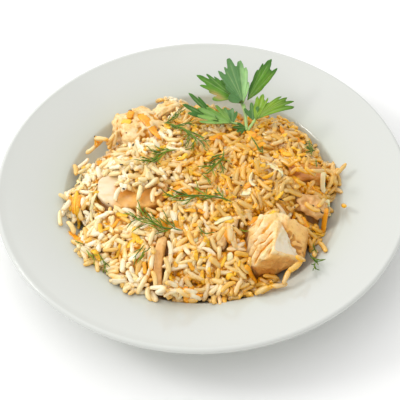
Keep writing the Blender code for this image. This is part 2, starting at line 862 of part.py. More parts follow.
def dill_frond(name, collection, material, roof, start, end, bow, reach, threads, seed):
    # One frond: a bowed stem with straight threads that lean forward on both sides.
    rng = np.random.default_rng(seed)
    begin = Vector((*start, 0))
    run = Vector((*end, 0)) - begin
    side = Vector((-run.y, run.x, 0)).normalized()
    rest = FOOD_GAP + THREAD_WIDTH
    spine = []
    for step in range(STEM_STEPS + 1):
        share = step / STEM_STEPS
        place = begin + run * share + side * bow * math.sin(math.pi * share)
        place.z = roof_height(roof, place.x, place.y) + rest
        spine.append(place)
    widths = [THREAD_WIDTH * (1.5 - 0.6 * step / STEM_STEPS) for step in range(STEM_STEPS + 1)]
    stem = tube_object(name, spine, widths, collection, material)
    feathers = make_collection(name + "_threads")
    for index in range(threads):
        share = (index + 0.7) / (threads + 0.4)
        root = point_along(spine, share)
        lean = math.radians(rng.uniform(28, 58)) * (1 if index % 2 else -1)
        way = Matrix.Rotation(lean, 3, "Z") @ run.normalized()
        length = reach * rng.uniform(0.75, 1.15) * (0.75 + 0.5 * math.sin(math.pi * share))
        tip = root + way * length
        tip.z = roof_height(roof, tip.x, tip.y) + rest
        middle = root.lerp(tip, 0.5)
        middle.z = max(middle.z, roof_height(roof, middle.x, middle.y) + rest)
        path = [root, middle, tip]
        tube_object("thread", path, [THREAD_WIDTH, THREAD_WIDTH, THREAD_WIDTH * 0.6], feathers)
    join_pieces(stem, feathers)
    keep_largest_body(stem)
    return stem


def leaf_layer(bm, base, frame, length, spread, curl, wave, offset):
    # One face of a leaflet: a few ribs from the base, then a row of teeth and notches.
    along, across, normal = frame
    steps = 2 * len(LEAF_TIPS) - 1
    ribs = (steps - 1) // LEAF_STEPS_PER_RIB

    def place(angle, out, lift):
        ahead = along * (out * math.cos(angle))
        aside = across * (out * math.sin(angle))
        fold = LEAF_FOLD * abs(out * math.sin(angle))
        bend = curl * out * out / length
        return base + ahead + aside + normal * (bend + fold + lift + offset)

    near = []
    for index in range(ribs + 1):
        angle = LEAF_WEDGE * spread * (2 * index / ribs - 1)
        near.append(bm.verts.new(place(angle, length * LEAF_WAIST, wave * (index % 2))))
    far = []
    for index in range(steps):
        reach = LEAF_TIPS[index // 2] if index % 2 == 0 else LEAF_NOTCHES[index // 2]
        angle = spread * (2 * index / (steps - 1) - 1)
        far.append(bm.verts.new(place(angle, length * reach, wave * math.cos(index * math.pi / 2))))
    return bm.verts.new(base + normal * offset), near, far


def leaf_object(name, base, tip, facing, spread, curl, wave, collection, material=None):
    # One leaflet: a lobed fan, thin and wavy, with both faces split alike.
    base = Vector(base)
    along = Vector(tip) - base
    length = along.length
    along.normalize()
    normal = Vector(facing)
    normal = (normal - along * normal.dot(along)).normalized()
    frame = (along, normal.cross(along), normal)
    bm = bmesh.new()
    layers = []
    for offset in (LEAF_THICKNESS / 2, -LEAF_THICKNESS / 2):
        angle = math.radians(spread)
        layers.append(leaf_layer(bm, base, frame, length, angle, curl, wave, offset))
    for root, near, far in layers:
        for index in range(len(near) - 1):
            bm.faces.new([root, near[index], near[index + 1]])
            corner = far[(index + 1) * LEAF_STEPS_PER_RIB]
            bm.faces.new([near[index], corner, near[index + 1]])
        for index in range(len(far) - 1):
            bm.faces.new([near[index // LEAF_STEPS_PER_RIB], far[index], far[index + 1]])
    upper, lower = [[root, near[0]] + far + [near[-1]] for root, near, far in layers]
    for index in range(len(upper)):
        after = (index + 1) % len(upper)
        bm.faces.new([upper[index], upper[after], lower[after]])
        bm.faces.new([upper[index], lower[after], lower[index]])
    bmesh.ops.recalc_face_normals(bm, faces=bm.faces)
    return add_object(name, bm, collection, material)


def make_parsley(collection, material):
    # Sprig of flat parsley: stalks from one foot, with a fan of leaflets at the end of each.
    foot = Vector(PARSLEY_FOOT)
    widths = [STALK_WIDTH, STALK_WIDTH * 0.9, STALK_WIDTH * 0.7]
    pieces = make_collection("sprig_pieces")
    sprig = None
    for index, (stalk, leaflets) in enumerate(PARSLEY):
        path = [foot + Vector((STALK_STEP * index, 0, 0))] + [Vector(place) for place in stalk]
        tube = tube_object("parsley", path, widths, pieces if sprig else collection, material)
        sprig = sprig or tube
        end = path[-1]
        for tip, facing, spread, curl in leaflets:
            back = (Vector(tip) - end).normalized() * LEAF_OVERLAP
            leaf_object("leaflet", end - back, tip, facing, spread, curl, LEAF_WAVE, pieces)
    join_pieces(sprig, pieces)
    keep_largest_body(sprig)
    return sprig


def build():
    # The whole dish.
    remove_scene_objects()
    dish = make_collection("chicken_pilaf")
    cutters = make_collection("cutters")
    pockets = make_collection("pockets")
    porcelain = make_material("porcelain_glazed", (0.80, 0.81, 0.79), 0.15, coat=0.6)
    rice_material = make_material("rice_cooked", (0.72, 0.52, 0.28), 0.45)
    meat = make_material("chicken_meat", (0.76, 0.55, 0.32), 0.5)
    parsley_green = make_material("parsley_leaf", (0.13, 0.30, 0.05), 0.5)
    dill_green = make_material("dill_frond", (0.05, 0.14, 0.02), 0.55)
    rng = np.random.default_rng(HEAP_SEED)
    make_plate(dish, porcelain)
    well_space = make_well_space(cutters)
    chicken = make_chicken(dish, meat, well_space, pockets)
    rice = make_heap_block(rng, dish, rice_material)
    keep_clear = []
    for piece in chicken:
        corners = [Vector(corner) for corner in piece.bound_box]
        centre = (corners[0] + corners[6]) / 2
        keep_clear.append((centre.xy, max(corners[6] - corners[0]) * CLEAR_SHARE))
    add_loose_pieces(rice, keep_clear, rng)
    boolean(rice, "INTERSECT", well_space)
    boolean(rice, "DIFFERENCE", pockets)
    keep_largest_body(rice)
    roof = food_roof([rice] + chicken)
    for name, values in DILL.items():
        dill_frond(name, dish, dill_green, roof, **values)
    make_parsley(dish, parsley_green)


build()
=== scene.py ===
# Chicken pilaf on its plate: the looks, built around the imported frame.
# Lengths in the dictionaries are millimetres, angles are degrees, colours are sRGB hex.

import math

import bpy
import numpy as np
from mathutils import Matrix, Vector


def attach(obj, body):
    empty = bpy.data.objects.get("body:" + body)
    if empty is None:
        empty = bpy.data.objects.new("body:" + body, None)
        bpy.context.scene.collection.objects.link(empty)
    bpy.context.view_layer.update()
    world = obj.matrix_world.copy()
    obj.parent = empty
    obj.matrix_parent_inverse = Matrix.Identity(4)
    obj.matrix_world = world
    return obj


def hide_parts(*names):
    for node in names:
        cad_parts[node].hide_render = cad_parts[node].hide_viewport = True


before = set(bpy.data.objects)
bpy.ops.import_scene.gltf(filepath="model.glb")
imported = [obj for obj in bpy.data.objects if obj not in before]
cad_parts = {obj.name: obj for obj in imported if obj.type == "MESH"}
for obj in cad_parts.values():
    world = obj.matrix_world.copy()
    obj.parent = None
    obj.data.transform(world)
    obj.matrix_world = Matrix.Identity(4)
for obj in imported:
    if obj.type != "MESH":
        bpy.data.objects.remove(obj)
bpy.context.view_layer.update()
mm = 0.001
print("frame loaded:", len(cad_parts), "nodes")


def linearColour(code):
    # each sRGB channel s becomes ((s + 0.055) / 1.055) to the power 2.4
    parts = [int(code[k:k + 2], 16) / 255 for k in (1, 3, 5)]
    return [p / 12.92 if p <= 0.04045 else ((p + 0.055) / 1.055) ** 2.4 for p in parts] + [1.0]


def addNode(tree, kind, inputs=None, **settings):
    # one node with its settings, and a value or a link for each named input
    node = tree.nodes.new(kind)
    for key, value in settings.items():
        setattr(node, key, value)
    for key, value in (inputs or {}).items():
        if isinstance(value, bpy.types.NodeSocket):
            tree.links.new(value, node.inputs[key])
        else:
            node.inputs[key].default_value = value
    return node


def startMaterial(name, **sockets):
    # a Principled material with its constant sockets set
    material = bpy.data.materials.new(name)
    material.use_nodes = True
    tree = material.node_tree
    shader = tree.nodes["Principled BSDF"]
    for key, value in sockets.items():
        shader.inputs[key.replace("_", " ")].default_value = value
    return material, tree, shader


def mixColours(tree, factor, first, second):
    # blend of two colours, each a socket or a hex code
    first, second = (linearColour(c) if isinstance(c, str) else c for c in (first, second))
    node = addNode(tree, "ShaderNodeMix", {0: factor, 6: first, 7: second}, data_type="RGBA")
    return node.outputs[2]


def calculate(tree, operation, first, second=0.0, third=0.0):
    # one sum on numbers or sockets
    return addNode(tree, "ShaderNodeMath", {0: first, 1: second, 2: third}, operation=operation).outputs[0]


def readValue(tree, name):
    # a number stored on the mesh
    return addNode(tree, "ShaderNodeAttribute", attribute_name=name).outputs["Fac"]


def noiseAt(tree, size, detail=2.0, roughness=0.5, stretch=(1, 1, 1)):
    # noise whose lumps are about size millimetres wide, on Object coordinates
    place = addNode(tree, "ShaderNodeTexCoord").outputs["Object"]
    scaled = addNode(tree, "ShaderNodeMapping", {0: place, 3: tuple(1 / s for s in stretch)})
    return addNode(tree, "ShaderNodeTexNoise", {"Vector": scaled.outputs[0], "Scale": 1 / (size * mm),
                                                "Detail": detail, "Roughness": roughness}).outputs["Fac"]


def rampBetween(tree, value, low, high):
    # 0 below low, 1 above high, smooth between
    node = addNode(tree, "ShaderNodeMapRange", {0: value, 1: low, 2: high}, interpolation_type="SMOOTHSTEP")
    return node.outputs[0]


def bumpFrom(tree, height, depth, normal=None):
    # relief of depth millimetres from a height of 0 to 1, over a first relief where one is given
    inputs = {"Height": height, "Distance": depth * mm}
    if normal:
        inputs["Normal"] = normal
    return addNode(tree, "ShaderNodeBump", inputs).outputs["Normal"]


def putMesh(name, points, faces, material, values=None):
    # points in millimetres, faces a list of index arrays of 3 or 4 corners, values per vertex
    mesh = bpy.data.meshes.new(name)
    mesh.vertices.add(len(points))
    mesh.vertices.foreach_set("co", (np.asarray(points) * mm).astype(np.float32).ravel())
    corners = np.concatenate([np.asarray(part).ravel() for part in faces])
    counts = np.concatenate([np.full(len(part), np.shape(part)[1]) for part in faces])
    mesh.loops.add(len(corners))
    mesh.loops.foreach_set("vertex_index", corners.astype(np.int32))
    mesh.polygons.add(len(counts))
    mesh.polygons.foreach_set("loop_start", np.concatenate([[0], np.cumsum(counts)[:-1]]).astype(np.int32))
    mesh.update(calc_edges=True)
    mesh.polygons.foreach_set("use_smooth", np.ones(len(counts), bool))
    for key, array in (values or {}).items():
        layer = mesh.attributes.new(key, "FLOAT", "POINT")
        layer.data.foreach_set("value", np.asarray(array, np.float32).ravel())
    mesh.materials.append(material)
    item = bpy.data.objects.new(name, mesh)
    bpy.context.scene.collection.objects.link(item)
    return item


def tubeFaces(rings, sides, copies=1):
    # faces of copies of a closed tube: start point, rings of points, end point
    ring = 1 + np.arange(rings - 1)[:, None] * sides
    here = np.arange(sides)[None]
    after = (here + 1) % sides
    quads = np.stack([ring + here, ring + after, ring + sides + after, ring + sides + here], -1).reshape(-1, 4)
    end = rings * sides + 1
    first = np.stack([0 * here, 1 + after, 1 + here], -1).reshape(-1, 3)
    last = np.stack([0 * here + end, end - sides + here, end - sides + after], -1).reshape(-1, 3)
    step = (np.arange(copies) * (end + 1))[:, None, None]
    return [(quads + step).reshape(-1, 4), (np.concatenate([first, last]) + step).reshape(-1, 3)]


def softNoise(points, seed):
    # random numbers at whole coordinates, blended smoothly between the eight corners, -1 to 1
    points = np.asarray(points, float)
    cell = np.floor(points).astype(np.int64)
    part = points - cell
    part = part * part * (3 - 2 * part)
    total = np.zeros(points.shape[:-1])
    for corner in np.ndindex(2, 2, 2):
        key = (cell + np.array(corner)) * np.array([73856093, 19349663, 83492791])
        key = (key[..., 0] ^ key[..., 1] ^ key[..., 2] ^ (seed * 668265263)) & 0xFFFFFFFF
        key = ((key ^ (key >> 15)) * 2246822519) & 0xFFFFFFFF
        key = ((key ^ (key >> 13)) * 3266489917) & 0xFFFFFFFF
        weight = np.prod(np.where(np.array(corner) == 1, part, 1 - part), axis=-1)
        total = total + weight * (key ^ (key >> 16)) / 4294967296
    return total * 2 - 1


def flatNoise(x, y, seed):
    # the same noise on one level
    return softNoise(np.stack([x, y, 0 * x + 0.5], -1), seed)


def smoothLine(line, times):
    # each inner point becomes half itself and a quarter of each neighbour
    for _ in range(times):
        line[1:-1] = 0.5 * line[1:-1] + 0.25 * (line[:-2] + line[2:])
    return line


def alongPath(path, share):
    # the point, or the points, at a share of the way along a path
    return np.stack([np.interp(share, np.linspace(0, 1, len(path)), path[:, k]) for k in range(3)], -1)


def lyingFrame(turn, tilt, roll):
    # columns: length, width and height directions of a piece, rolled, then tilted, then turned about Z
    turn, tilt, roll = (math.radians(a) for a in (turn, tilt, roll))
    matrix = Matrix.Rotation(turn, 3, "Z") @ Matrix.Rotation(-tilt, 3, "Y") @ Matrix.Rotation(roll, 3, "X")
    return np.array(matrix)


plate = {
    "radius": 120, "height": 32, "thickness": 4, "lip": 1.8,
    "floorRadius": 54, "floorZ": 6, "wallRadius": 34, "wallAngle": 52, "shoulder": 6,
    "footOuter": 65, "footInner": 60, "chamfer": 0.8, "turnSteps": 200,
    "glaze": "#CCCEC9", "cloud": "#CDCFC9", "wellShade": "#C8CDC2", "biscuit": "#D8D2C4",
}


def arcPoints(x, z, radius, start, end, count):
    # points of a circle about (x, z) from one angle to another
    angle = np.radians(np.linspace(start, end, count))
    return np.stack([x + radius * np.cos(angle), z + radius * np.sin(angle)], -1)


def shoulderCentre():
    # centre of the shoulder's arc: out along the wall's last radius by both radii together
    reach = plate["wallRadius"] + plate["shoulder"]
    angle = math.radians(plate["wallAngle"])
    x = plate["floorRadius"] + reach * math.sin(angle)
    return x, plate["floorZ"] + plate["wallRadius"] - reach * math.cos(angle)


def rimSlope():
    # slope in degrees of the straight rim that touches the shoulder arc and the lip
    x, z = shoulderCentre()
    run = plate["radius"] - plate["lip"] - x
    climb = plate["height"] - plate["lip"] - z
    lean = math.asin((plate["shoulder"] - plate["lip"]) / math.hypot(run, climb))
    return math.degrees(math.atan2(climb, run) + lean)


def wellProfile():
    # upper side from the centre: flat floor, concave wall, convex shoulder
    x, z = shoulderCentre()
    wall = arcPoints(plate["floorRadius"], plate["floorZ"] + plate["wallRadius"], plate["wallRadius"],
                     -90, plate["wallAngle"] - 90, 22)
    shoulder = arcPoints(x, z, plate["shoulder"], plate["wallAngle"] + 90, rimSlope() + 90, 12)
    return np.concatenate([wall, shoulder[1:]])


def plateProfile():
    # closed section: underside from the centre, foot ring, back of the wall and rim, lip, upper side
    x, z = shoulderCentre()
    slope = rimSlope()
    under = plate["floorZ"] - plate["thickness"]
    outer, inner, cut = plate["footOuter"], plate["footInner"], plate["chamfer"]
    backRadius = plate["wallRadius"] + plate["thickness"]
    startAngle = math.degrees(math.asin((outer - plate["floorRadius"]) / backRadius)) - 90
    foot = [(0, under), (20, under), (40, under), (inner - 2, under), (inner - 0.6, under - 0.3),
            (inner, cut), (inner + cut * 0.4, cut * 0.25), (inner + cut, 0),
            (outer - cut, 0), (outer - cut * 0.4, cut * 0.25), (outer, cut)]
    wall = arcPoints(plate["floorRadius"], plate["floorZ"] + plate["wallRadius"], backRadius,
                     startAngle, plate["wallAngle"] - 90, 20)
    bend = arcPoints(x, z, plate["shoulder"] - plate["thickness"], plate["wallAngle"] + 90, slope + 90, 6)
    lip = arcPoints(plate["radius"] - plate["lip"], plate["height"] - plate["lip"], plate["lip"],
                    slope - 90, slope + 90, 14)
    upper = wellProfile()[::-1]
    rim = np.linspace(0, 1, 10)[1:-1, None]
    outside = bend[-1] * (1 - rim) + lip[0] * rim
    inside = lip[-1] * (1 - rim) + upper[0] * rim
    floor = np.array([(radius, plate["floorZ"]) for radius in (40, 24, 10, 0)])
    return np.concatenate([foot, wall, bend[1:], outside, lip, inside, upper, floor])


def glazedPorcelain():
    # glazed porcelain, fired: white body under clear glaze, soft waves in its reflections,
    # bare biscuit under the foot
    material, tree, shader = startMaterial("glazedPorcelain", IOR=1.5, Specular_IOR_Level=0.45)
    place = addNode(tree, "ShaderNodeTexCoord").outputs["Object"]
    height = addNode(tree, "ShaderNodeSeparateXYZ", {0: place}).outputs["Z"]
    glazed = rampBetween(tree, height, 0.15 * mm, 0.5 * mm)
    cloud = noiseAt(tree, 28, 2)
    tone = mixColours(tree, calculate(tree, "MULTIPLY", cloud, 0.25), plate["glaze"], plate["cloud"])
    # painted shade: the glaze is a little darker and greener in the well, to even out the warm light that the
    # rice throws on its wall
    tone = mixColours(tree, rampBetween(tree, height, 27 * mm, 18 * mm), tone, plate["wellShade"])
    tree.links.new(mixColours(tree, glazed, plate["biscuit"], tone), shader.inputs["Base Color"])
    speckle = noiseAt(tree, 1.2, 1)
    rough = calculate(tree, "MULTIPLY_ADD", speckle, 0.05, 0.08)
    bare = calculate(tree, "MULTIPLY_ADD", glazed, -0.6, 0.7)
    tree.links.new(calculate(tree, "MAXIMUM", rough, bare), shader.inputs["Roughness"])
    waves = bumpFrom(tree, noiseAt(tree, 14, 1), 0.05)
    tree.links.new(bumpFrom(tree, noiseAt(tree, 2.2, 2), 0.006, waves), shader.inputs["Normal"])
    return material


def makePlate():
    # a surface of revolution: the section turned about Z
    section = plateProfile()
    turn = np.linspace(0, 2 * math.pi, plate["turnSteps"], endpoint=False)
    body = section[1:-1]
    radius, level = body[:, 0, None], body[:, 1, None]
    rings = np.stack([radius * np.cos(turn), radius * np.sin(turn), level + 0 * turn], -1)
    points = np.concatenate([[(0, 0, section[0, 1])], rings.reshape(-1, 3), [(0, 0, section[-1, 1])]])
    item = putMesh("plate_glazed", points, tubeFaces(len(body), len(turn)), glazedPorcelain())
    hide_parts("plate")
    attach(item, "root")


makePlate()
print("plate made")


# the heap's form: dome, edge, lumps, and in the outline waves and notches (azimuth, half width, depth)
heap = {
    "top": 36, "rimZ": 25, "radius": 82, "shift": 1.8, "domePower": 2.2,
    "edge": 9, "edgeRatio": 0.95, "edgePower": 1.9, "seed": 7,
    "lumps": 46, "lumpHeight": 2.6, "lumpSpread": 8, "dipSlope": 0.8,
    "waves": ((9, 1.0, 1.2), (17, 0.0, 0.9)),
    "notches": ((152, 17, 13), (98, 22, 13), (62, 14, 8), (-160, 5, 9), (-42, 20, 8)),
}
# the height field that the food is laid on; empty marks a cell with nothing over it
field = {"cell": 0.5, "half": 96.0, "empty": -1e3}

# sizes of the meat's relief: along and across the fibres, or all round
fibre = {"warp": 9, "strand": (14, 1.6, 1.6), "flakeLength": 22, "lump": 7, "crumb": 2.6}
# colours of the torn strands, the browned outside, the cut face and the juice in the creases, which also paints
# the creases' shade
meatTones = {
    "strand": "#F7E0AE", "strandDeep": "#F0C87C", "tan": "#F6BE62", "tanDeep": "#E4A040", "browned": "#CC8634",
    "fleck": "#C4883E", "cut": "#EADDC2", "cutDeep": "#DEC695", "juice": "#F2AA28", "juiceDeep": "#D08A1C",
    "juiceBrowned": "#9A6530",
}

# fibres run along each piece's own X; sharp is the power that rounds its edges
meat = {
    "chicken_chunk_right": {"centre": (38, -50, 26), "size": (32, 36, 26), "turn": 78, "tilt": 5, "roll": 0,
                            "buried": 0.45, "sharp": 14, "grid": (120, 150), "seed": 1},
    "chicken_slice_left": {"centre": (-40, -9, 29.5), "size": (42, 29, 12), "turn": -4, "tilt": 4, "roll": 3,
                           "buried": 0.62, "sharp": 10, "grid": (90, 120), "seed": 2},
    "chicken_back_left": {"centre": (-38, 45, 26), "size": (28, 27, 21), "turn": 30, "tilt": 0, "roll": -4,
                          "buried": 0.6, "sharp": 3.2, "grid": (90, 120), "seed": 3},
    "chicken_strip_back": {"centre": (-22, 55, 31.5), "size": (21, 8, 7), "turn": 38, "tilt": 6, "roll": 0,
                           "buried": 0.55, "sharp": 3.5, "grid": (50, 60), "seed": 4},
    "chicken_wedge_right": {"centre": (61, 2, 28), "size": (18, 13, 9), "turn": 12, "tilt": -12, "roll": -4,
                            "buried": 0.6, "sharp": 5, "grid": (50, 70), "seed": 5},
    "chicken_right": {"centre": (61, -19, 27), "size": (17, 11, 9), "turn": -15, "tilt": -15, "roll": -6,
                      "buried": 0.55, "sharp": 5, "grid": (50, 70), "seed": 6},
    "chicken_middle": {"centre": (38, -8, 32), "size": (24, 15, 11), "turn": -55, "tilt": -4, "roll": 0,
                       "buried": 0.6, "sharp": 3.5, "grid": (60, 80), "seed": 7},
    "chicken_strand_front": {"centre": (-24, -61, 28), "size": (32, 8, 7), "slim": 0.72, "turn": 86,
                             "tilt": 14, "roll": 0, "buried": 0.5, "sharp": 4, "grid": (60, 60), "seed": 8},
    "chicken_flat_middle": {"centre": (12.5, -42, 31.5), "size": (22, 10, 8), "slim": 0.8, "turn": 68,
                            "tilt": 6, "roll": 0, "buried": 0.6, "sharp": 4, "grid": (50, 70), "seed": 9},
}


def plateHeight(radius):
    # height of the plate's upper side at a radius
    points = wellProfile()
    run = plate["radius"] - points[-1, 0]
    edge = points[-1, 1] + run * math.tan(math.radians(rimSlope()))
    points = np.concatenate([points, [(plate["radius"], edge)]])
    return np.interp(radius, points[:, 0], points[:, 1])


def drawIn(outline, azimuth, places):
    # the outline less depth * exp(-(angle / half width)^2) at each place: azimuth, half width, depth
    for centre, halfWidth, depth in places:
        turn = np.angle(np.exp(1j * (azimuth - math.radians(centre))))
        outline = outline - depth * np.exp(-((turn / math.radians(halfWidth)) ** 2))
    return outline


def heapOutline(azimuth):
    # radius of the heap's foot: shoulder, fine waves, less each notch
    outline = heap["radius"] - heap["shift"] * np.cos(azimuth)
    for count, phase, height in heap["waves"]:
        outline = outline + height * np.sin(count * azimuth + phase)
    return drawIn(outline, azimuth, heap["notches"])


def dipRound(values, x, y):
    # height limit that leaves the upper part of a piece of meat free
    turn = math.radians(values["turn"])
    dx, dy = x - values["centre"][0], y - values["centre"][1]
    along = (dx * math.cos(turn) + dy * math.sin(turn)) / (values["size"][0] / 2)
    across = (dy * math.cos(turn) - dx * math.sin(turn)) / (values["size"][1] / 2)
    away = np.sqrt(along**2 + across**2)
    low = values["centre"][2] + (values["buried"] - 0.5) * values["size"][2]
    return low + np.maximum(away - 0.95, 0) * values["size"][1] * heap["dipSlope"]


def heapHeight(x, y):
    # dome with seeded lumps, lowered round the meat, that drops in a round shoulder to its outline
    radius = np.hypot(x, y)
    outline = heapOutline(np.arctan2(y, x))
    dome = heap["top"] - (heap["top"] - heap["rimZ"]) * (radius / heap["radius"]) ** heap["domePower"]
    draws = np.random.default_rng(heap["seed"]).random((heap["lumps"], 4))
    for angle, reach, spread, height in draws:
        reach = heap["radius"] * math.sqrt(reach)
        spread = heap["lumpSpread"] * (0.7 + 0.6 * spread)
        turn = 2 * math.pi * angle
        away = (x - reach * math.cos(turn)) ** 2 + (y - reach * math.sin(turn)) ** 2
        dome = dome + heap["lumpHeight"] * (1.8 * height - 0.8) * np.exp(-away / (2 * spread**2))
    for values in meat.values():
        dome = np.minimum(dome, dipRound(values, x, y))
    ground = plateHeight(radius)
    reach = np.maximum(heap["edge"], (dome - ground) * heap["edgeRatio"])
    edge = np.clip((outline - radius) / reach, 0, 1)
    return np.where(radius < outline, ground + (dome - ground) * (1 - (1 - edge) ** heap["edgePower"]), ground)


def fieldAxis():
    # places of the field's columns, and of its rows
    return np.arange(-field["half"], field["half"] + field["cell"] / 2, field["cell"])


def fieldIndex(x, y):
    # row and column of places on the height field
    limit = len(fieldAxis()) - 1
    column = np.clip(np.rint((x + field["half"]) / field["cell"]).astype(int), 0, limit)
    row = np.clip(np.rint((y + field["half"]) / field["cell"]).astype(int), 0, limit)
    return row, column


def widen(heights, steps=1):
    # each cell takes the highest of its neighbours
    wide = heights
    for _ in range(steps):
        for axis in (0, 1):
            wide = np.maximum(wide, np.maximum(np.roll(wide, 1, axis), np.roll(wide, -1, axis)))
    return wide


def blurField(heights, steps):
    # for each step, a cell becomes the mean of itself and the four cells that lie that far away
    for step in steps:
        beside = heights + np.roll(heights, step, 0) + np.roll(heights, -step, 0)
        heights = (beside + np.roll(heights, step, 1) + np.roll(heights, -step, 1)) / 5
    return heights


def stampMesh(heights, points, rings, sides):
    # raise the field to the highest of the mesh's points and midpoints that fall in each cell
    grid = points[1:-1].reshape(rings, sides, 3)
    grid = np.concatenate([grid, (grid + np.roll(grid, 1, 1)) / 2], 1)
    grid = np.concatenate([grid, (grid[1:] + grid[:-1]) / 2]).reshape(-1, 3)
    top = np.full_like(heights, field["empty"])
    row, column = fieldIndex(grid[:, 0], grid[:, 1])
    np.maximum.at(top, (row, column), grid[:, 2])
    wide = widen(top)
    return np.maximum(heights, np.where(wide - top > 50, wide, top))


def meatPiece(name, values):
    # a rounded block: in direction d the surface lies at 1 over the p-norm of d.n / a, taken over its
    # faces with normal n at distance a; then flakes and strands along the fibres stand out, most of all
    # on the torn faces
    length, width, height = (s / 2 for s in values["size"])
    width = width * values.get("slim", 1)
    planes = [((1, 0, 0), length), ((-1, 0, 0), length), ((0, 1, 0), width), ((0, -1, 0), width),
              ((0, 0, 1), height), ((0, 0, -1), height)] + list(values.get("planes", ()))
    torn = values.get("torn", [1] * len(planes))
    cut = values.get("cut", [0] * len(planes))
    rings, sides = values["grid"]
    polar = np.linspace(0, math.pi, rings + 2)[:, None]
    around = np.linspace(0, 2 * math.pi, sides, endpoint=False)[None]
    way = np.stack([-np.cos(polar) + 0 * around, np.sin(polar) * np.cos(around),
                    np.sin(polar) * np.sin(around)], -1)
    way = np.concatenate([way[0, :1], way[1:-1].reshape(-1, 3), way[-1, :1]])
    terms = []
    for normal, distance in planes:
        normal = np.array(normal) / np.linalg.norm(normal)
        terms.append(np.maximum(way @ normal / distance, 0) ** values["sharp"])
    terms = np.array(terms)
    total = terms.sum(0)
    body = way * (total ** (-1 / values["sharp"]))[:, None]
    marks = {"brown": np.full(len(way), values.get("brown", 0.25)),
             "torn": (terms * np.array(torn)[:, None]).sum(0) / total,
             "cut": (terms * np.array(cut)[:, None]).sum(0) / total}
    seed = values["seed"] * 17
    flakeSize = values.get("flake", 4.2)
    warp = softNoise(body / fibre["warp"], seed + 4)[:, None] * (0, 1.5, 1.5)
    strand = 1 - 2 * np.abs(softNoise((body + warp) / fibre["strand"] + 5, seed))
    flakeSizes = (fibre["flakeLength"], flakeSize, flakeSize)
    flake = 1 - 2 * np.abs(softNoise((body + warp) / flakeSizes + 9, seed + 1))
    lump = softNoise(body / fibre["lump"] + 3, seed + 2)
    crumb = values.get("crumb", 0.1) * softNoise(body / fibre["crumb"] + 3, seed + 5)
    roughness = values.get("relief", 1.0) * (0.12 + 0.88 * marks["torn"])
    rise = roughness * (0.45 * strand + 1.25 * flake) + values.get("lump", 0.8) * lump + crumb
    # the low places between strands and flakes get the juice colour, which is partly painted shade
    marks["juiceAndShade"] = np.clip(0.5 - 0.3 * strand - 0.7 * flake - crumb, 0, 1) * marks["torn"]
    if "creases" in values:
        rise = values["creases"](body, rise, marks, seed)
    body = body + way * (rise - 0.5)[:, None]
    body[:, 1] *= 1 - values.get("narrow", 0) * (0.5 - 0.5 * body[:, 0] / length)
    body[:, 1] += values.get("bend", 0) * (1 - (body[:, 0] / length) ** 2)
    points = body @ lyingFrame(values["turn"], values["tilt"], values["roll"]).T + np.array(values["centre"])
    # nothing reaches into the porcelain
    floor = plateHeight(np.hypot(points[:, 0], points[:, 1])) + 0.4
    points[:, 2] = np.maximum(points[:, 2], floor)
    return points, marks


def chunkCreases(body, rise, marks, seed):
    # on the cut face: a ragged crease along a slanting line, dark with juice colour and painted shade, a tan band
    # beyond it, and a pale ledge in front
    x, y = body[:, 0], body[:, 1]
    beyond = (x - 10) * 0.695 - (y + 3.8) * 0.719 + 0.9 * softNoise(body / 2.5, seed + 7)
    onFace = marks["cut"]
    # five strands slant over the torn left face, rounded, with deep golden gaps between them, painted shade in
    # part
    across = 0.69 * x + 0.66 * y - 0.3 * body[:, 2] + 1.4 * softNoise(body / 6, seed + 10)
    strand = np.abs(np.sin(math.pi * across / 4.6)) ** 1.2
    left = np.clip(marks["torn"] * 1.6 - 0.5, 0, 1) * np.clip((y + 2) / 3, 0, 1) \
        * np.clip(1.2 + 0.8 * softNoise(body / 5, seed + 11), 0, 1)
    rise = rise * (1 - 0.5 * left) + left * (3.4 * strand - 2.0)
    marks["juiceAndShade"] = np.clip(marks["juiceAndShade"] * (1 - left) + left * np.clip(1.15 - 1.7 * strand, 0, 1), 0, 1)
    groove = np.exp(-((beyond / 0.8) ** 2)) \
        + 0.6 * np.exp(-(((beyond + 2.2) / 0.5) ** 2)) * (softNoise(body / 3, seed + 8) > 0)
    ledge = np.clip((-8.7 - 0.386 * y - x + 0.6 * softNoise(body / 2, seed + 9)) / 1.0, 0, 1)
    rise = rise - onFace * 1.3 * groove + onFace * 0.9 * np.clip(beyond / 1.5, 0, 1) \
        + onFace * ledge * (0.5 + 0.4 * rise)
    ragged = onFace * np.clip(1.2 - np.abs(beyond - 1.1) / 2.6, 0, 1) * np.clip(8 - x, 0, 1) \
        * np.clip(0.3 + 3 * softNoise(body / (1.5, 1.5, 1.1), seed + 13), 0, 1)
    rise = rise - 1.2 * ragged
    marks["juiceAndShade"] = np.clip(marks["juiceAndShade"] + onFace * groove * 0.9 + 1.4 * ragged, 0, 1)
    outer = np.clip(beyond / 1.2, 0, 1)
    marks["cut"] = onFace * (1 - outer) * (1 - ledge)
    marks["torn"] = np.clip(marks["torn"] + onFace * (ledge * 0.9 + outer * 0.25), 0, 1)
    # browner towards the chunk's bottom, and browner in the ragged crease as painted shade
    marks["brown"] = np.clip(0.5 - body[:, 2] / 13 - 0.3 * onFace + 2.2 * ragged
                             + 0.5 * softNoise(body / 3.5, seed + 12), 0, 1)
    return rise


def sliceLayers(body, rise, marks, seed):
    # a paler layer with a ragged edge lies over the left and back of the slice, its right and front
    # are tan
    x, y = body[:, 0], body[:, 1]
    edge = x + 8 - 0.9 * np.clip(y, 0, 20) - 0.3 * np.clip(-y, 0, 20) \
        + 5 * softNoise(body / 7, seed + 7) + 3 * softNoise(body / 2.5, seed + 6)
    layer = np.clip(0.5 - edge / 9, 0, 1) * (body[:, 2] > 0)
    fold = np.exp(-(((y + 9 + 0.35 * x + 2 * softNoise(body / 6, seed + 8)) / 0.9) ** 2)) * layer
    marks["cut"] = 0.35 + 0.3 * layer
    marks["brown"] = np.clip(0.25 + 0.02 * x - 0.015 * y, 0, 1)
    return rise + 0.7 * layer - 0.8 * fold - 0.5 * np.clip(softNoise(body / (9, 3, 9), seed + 9), 0, 1)


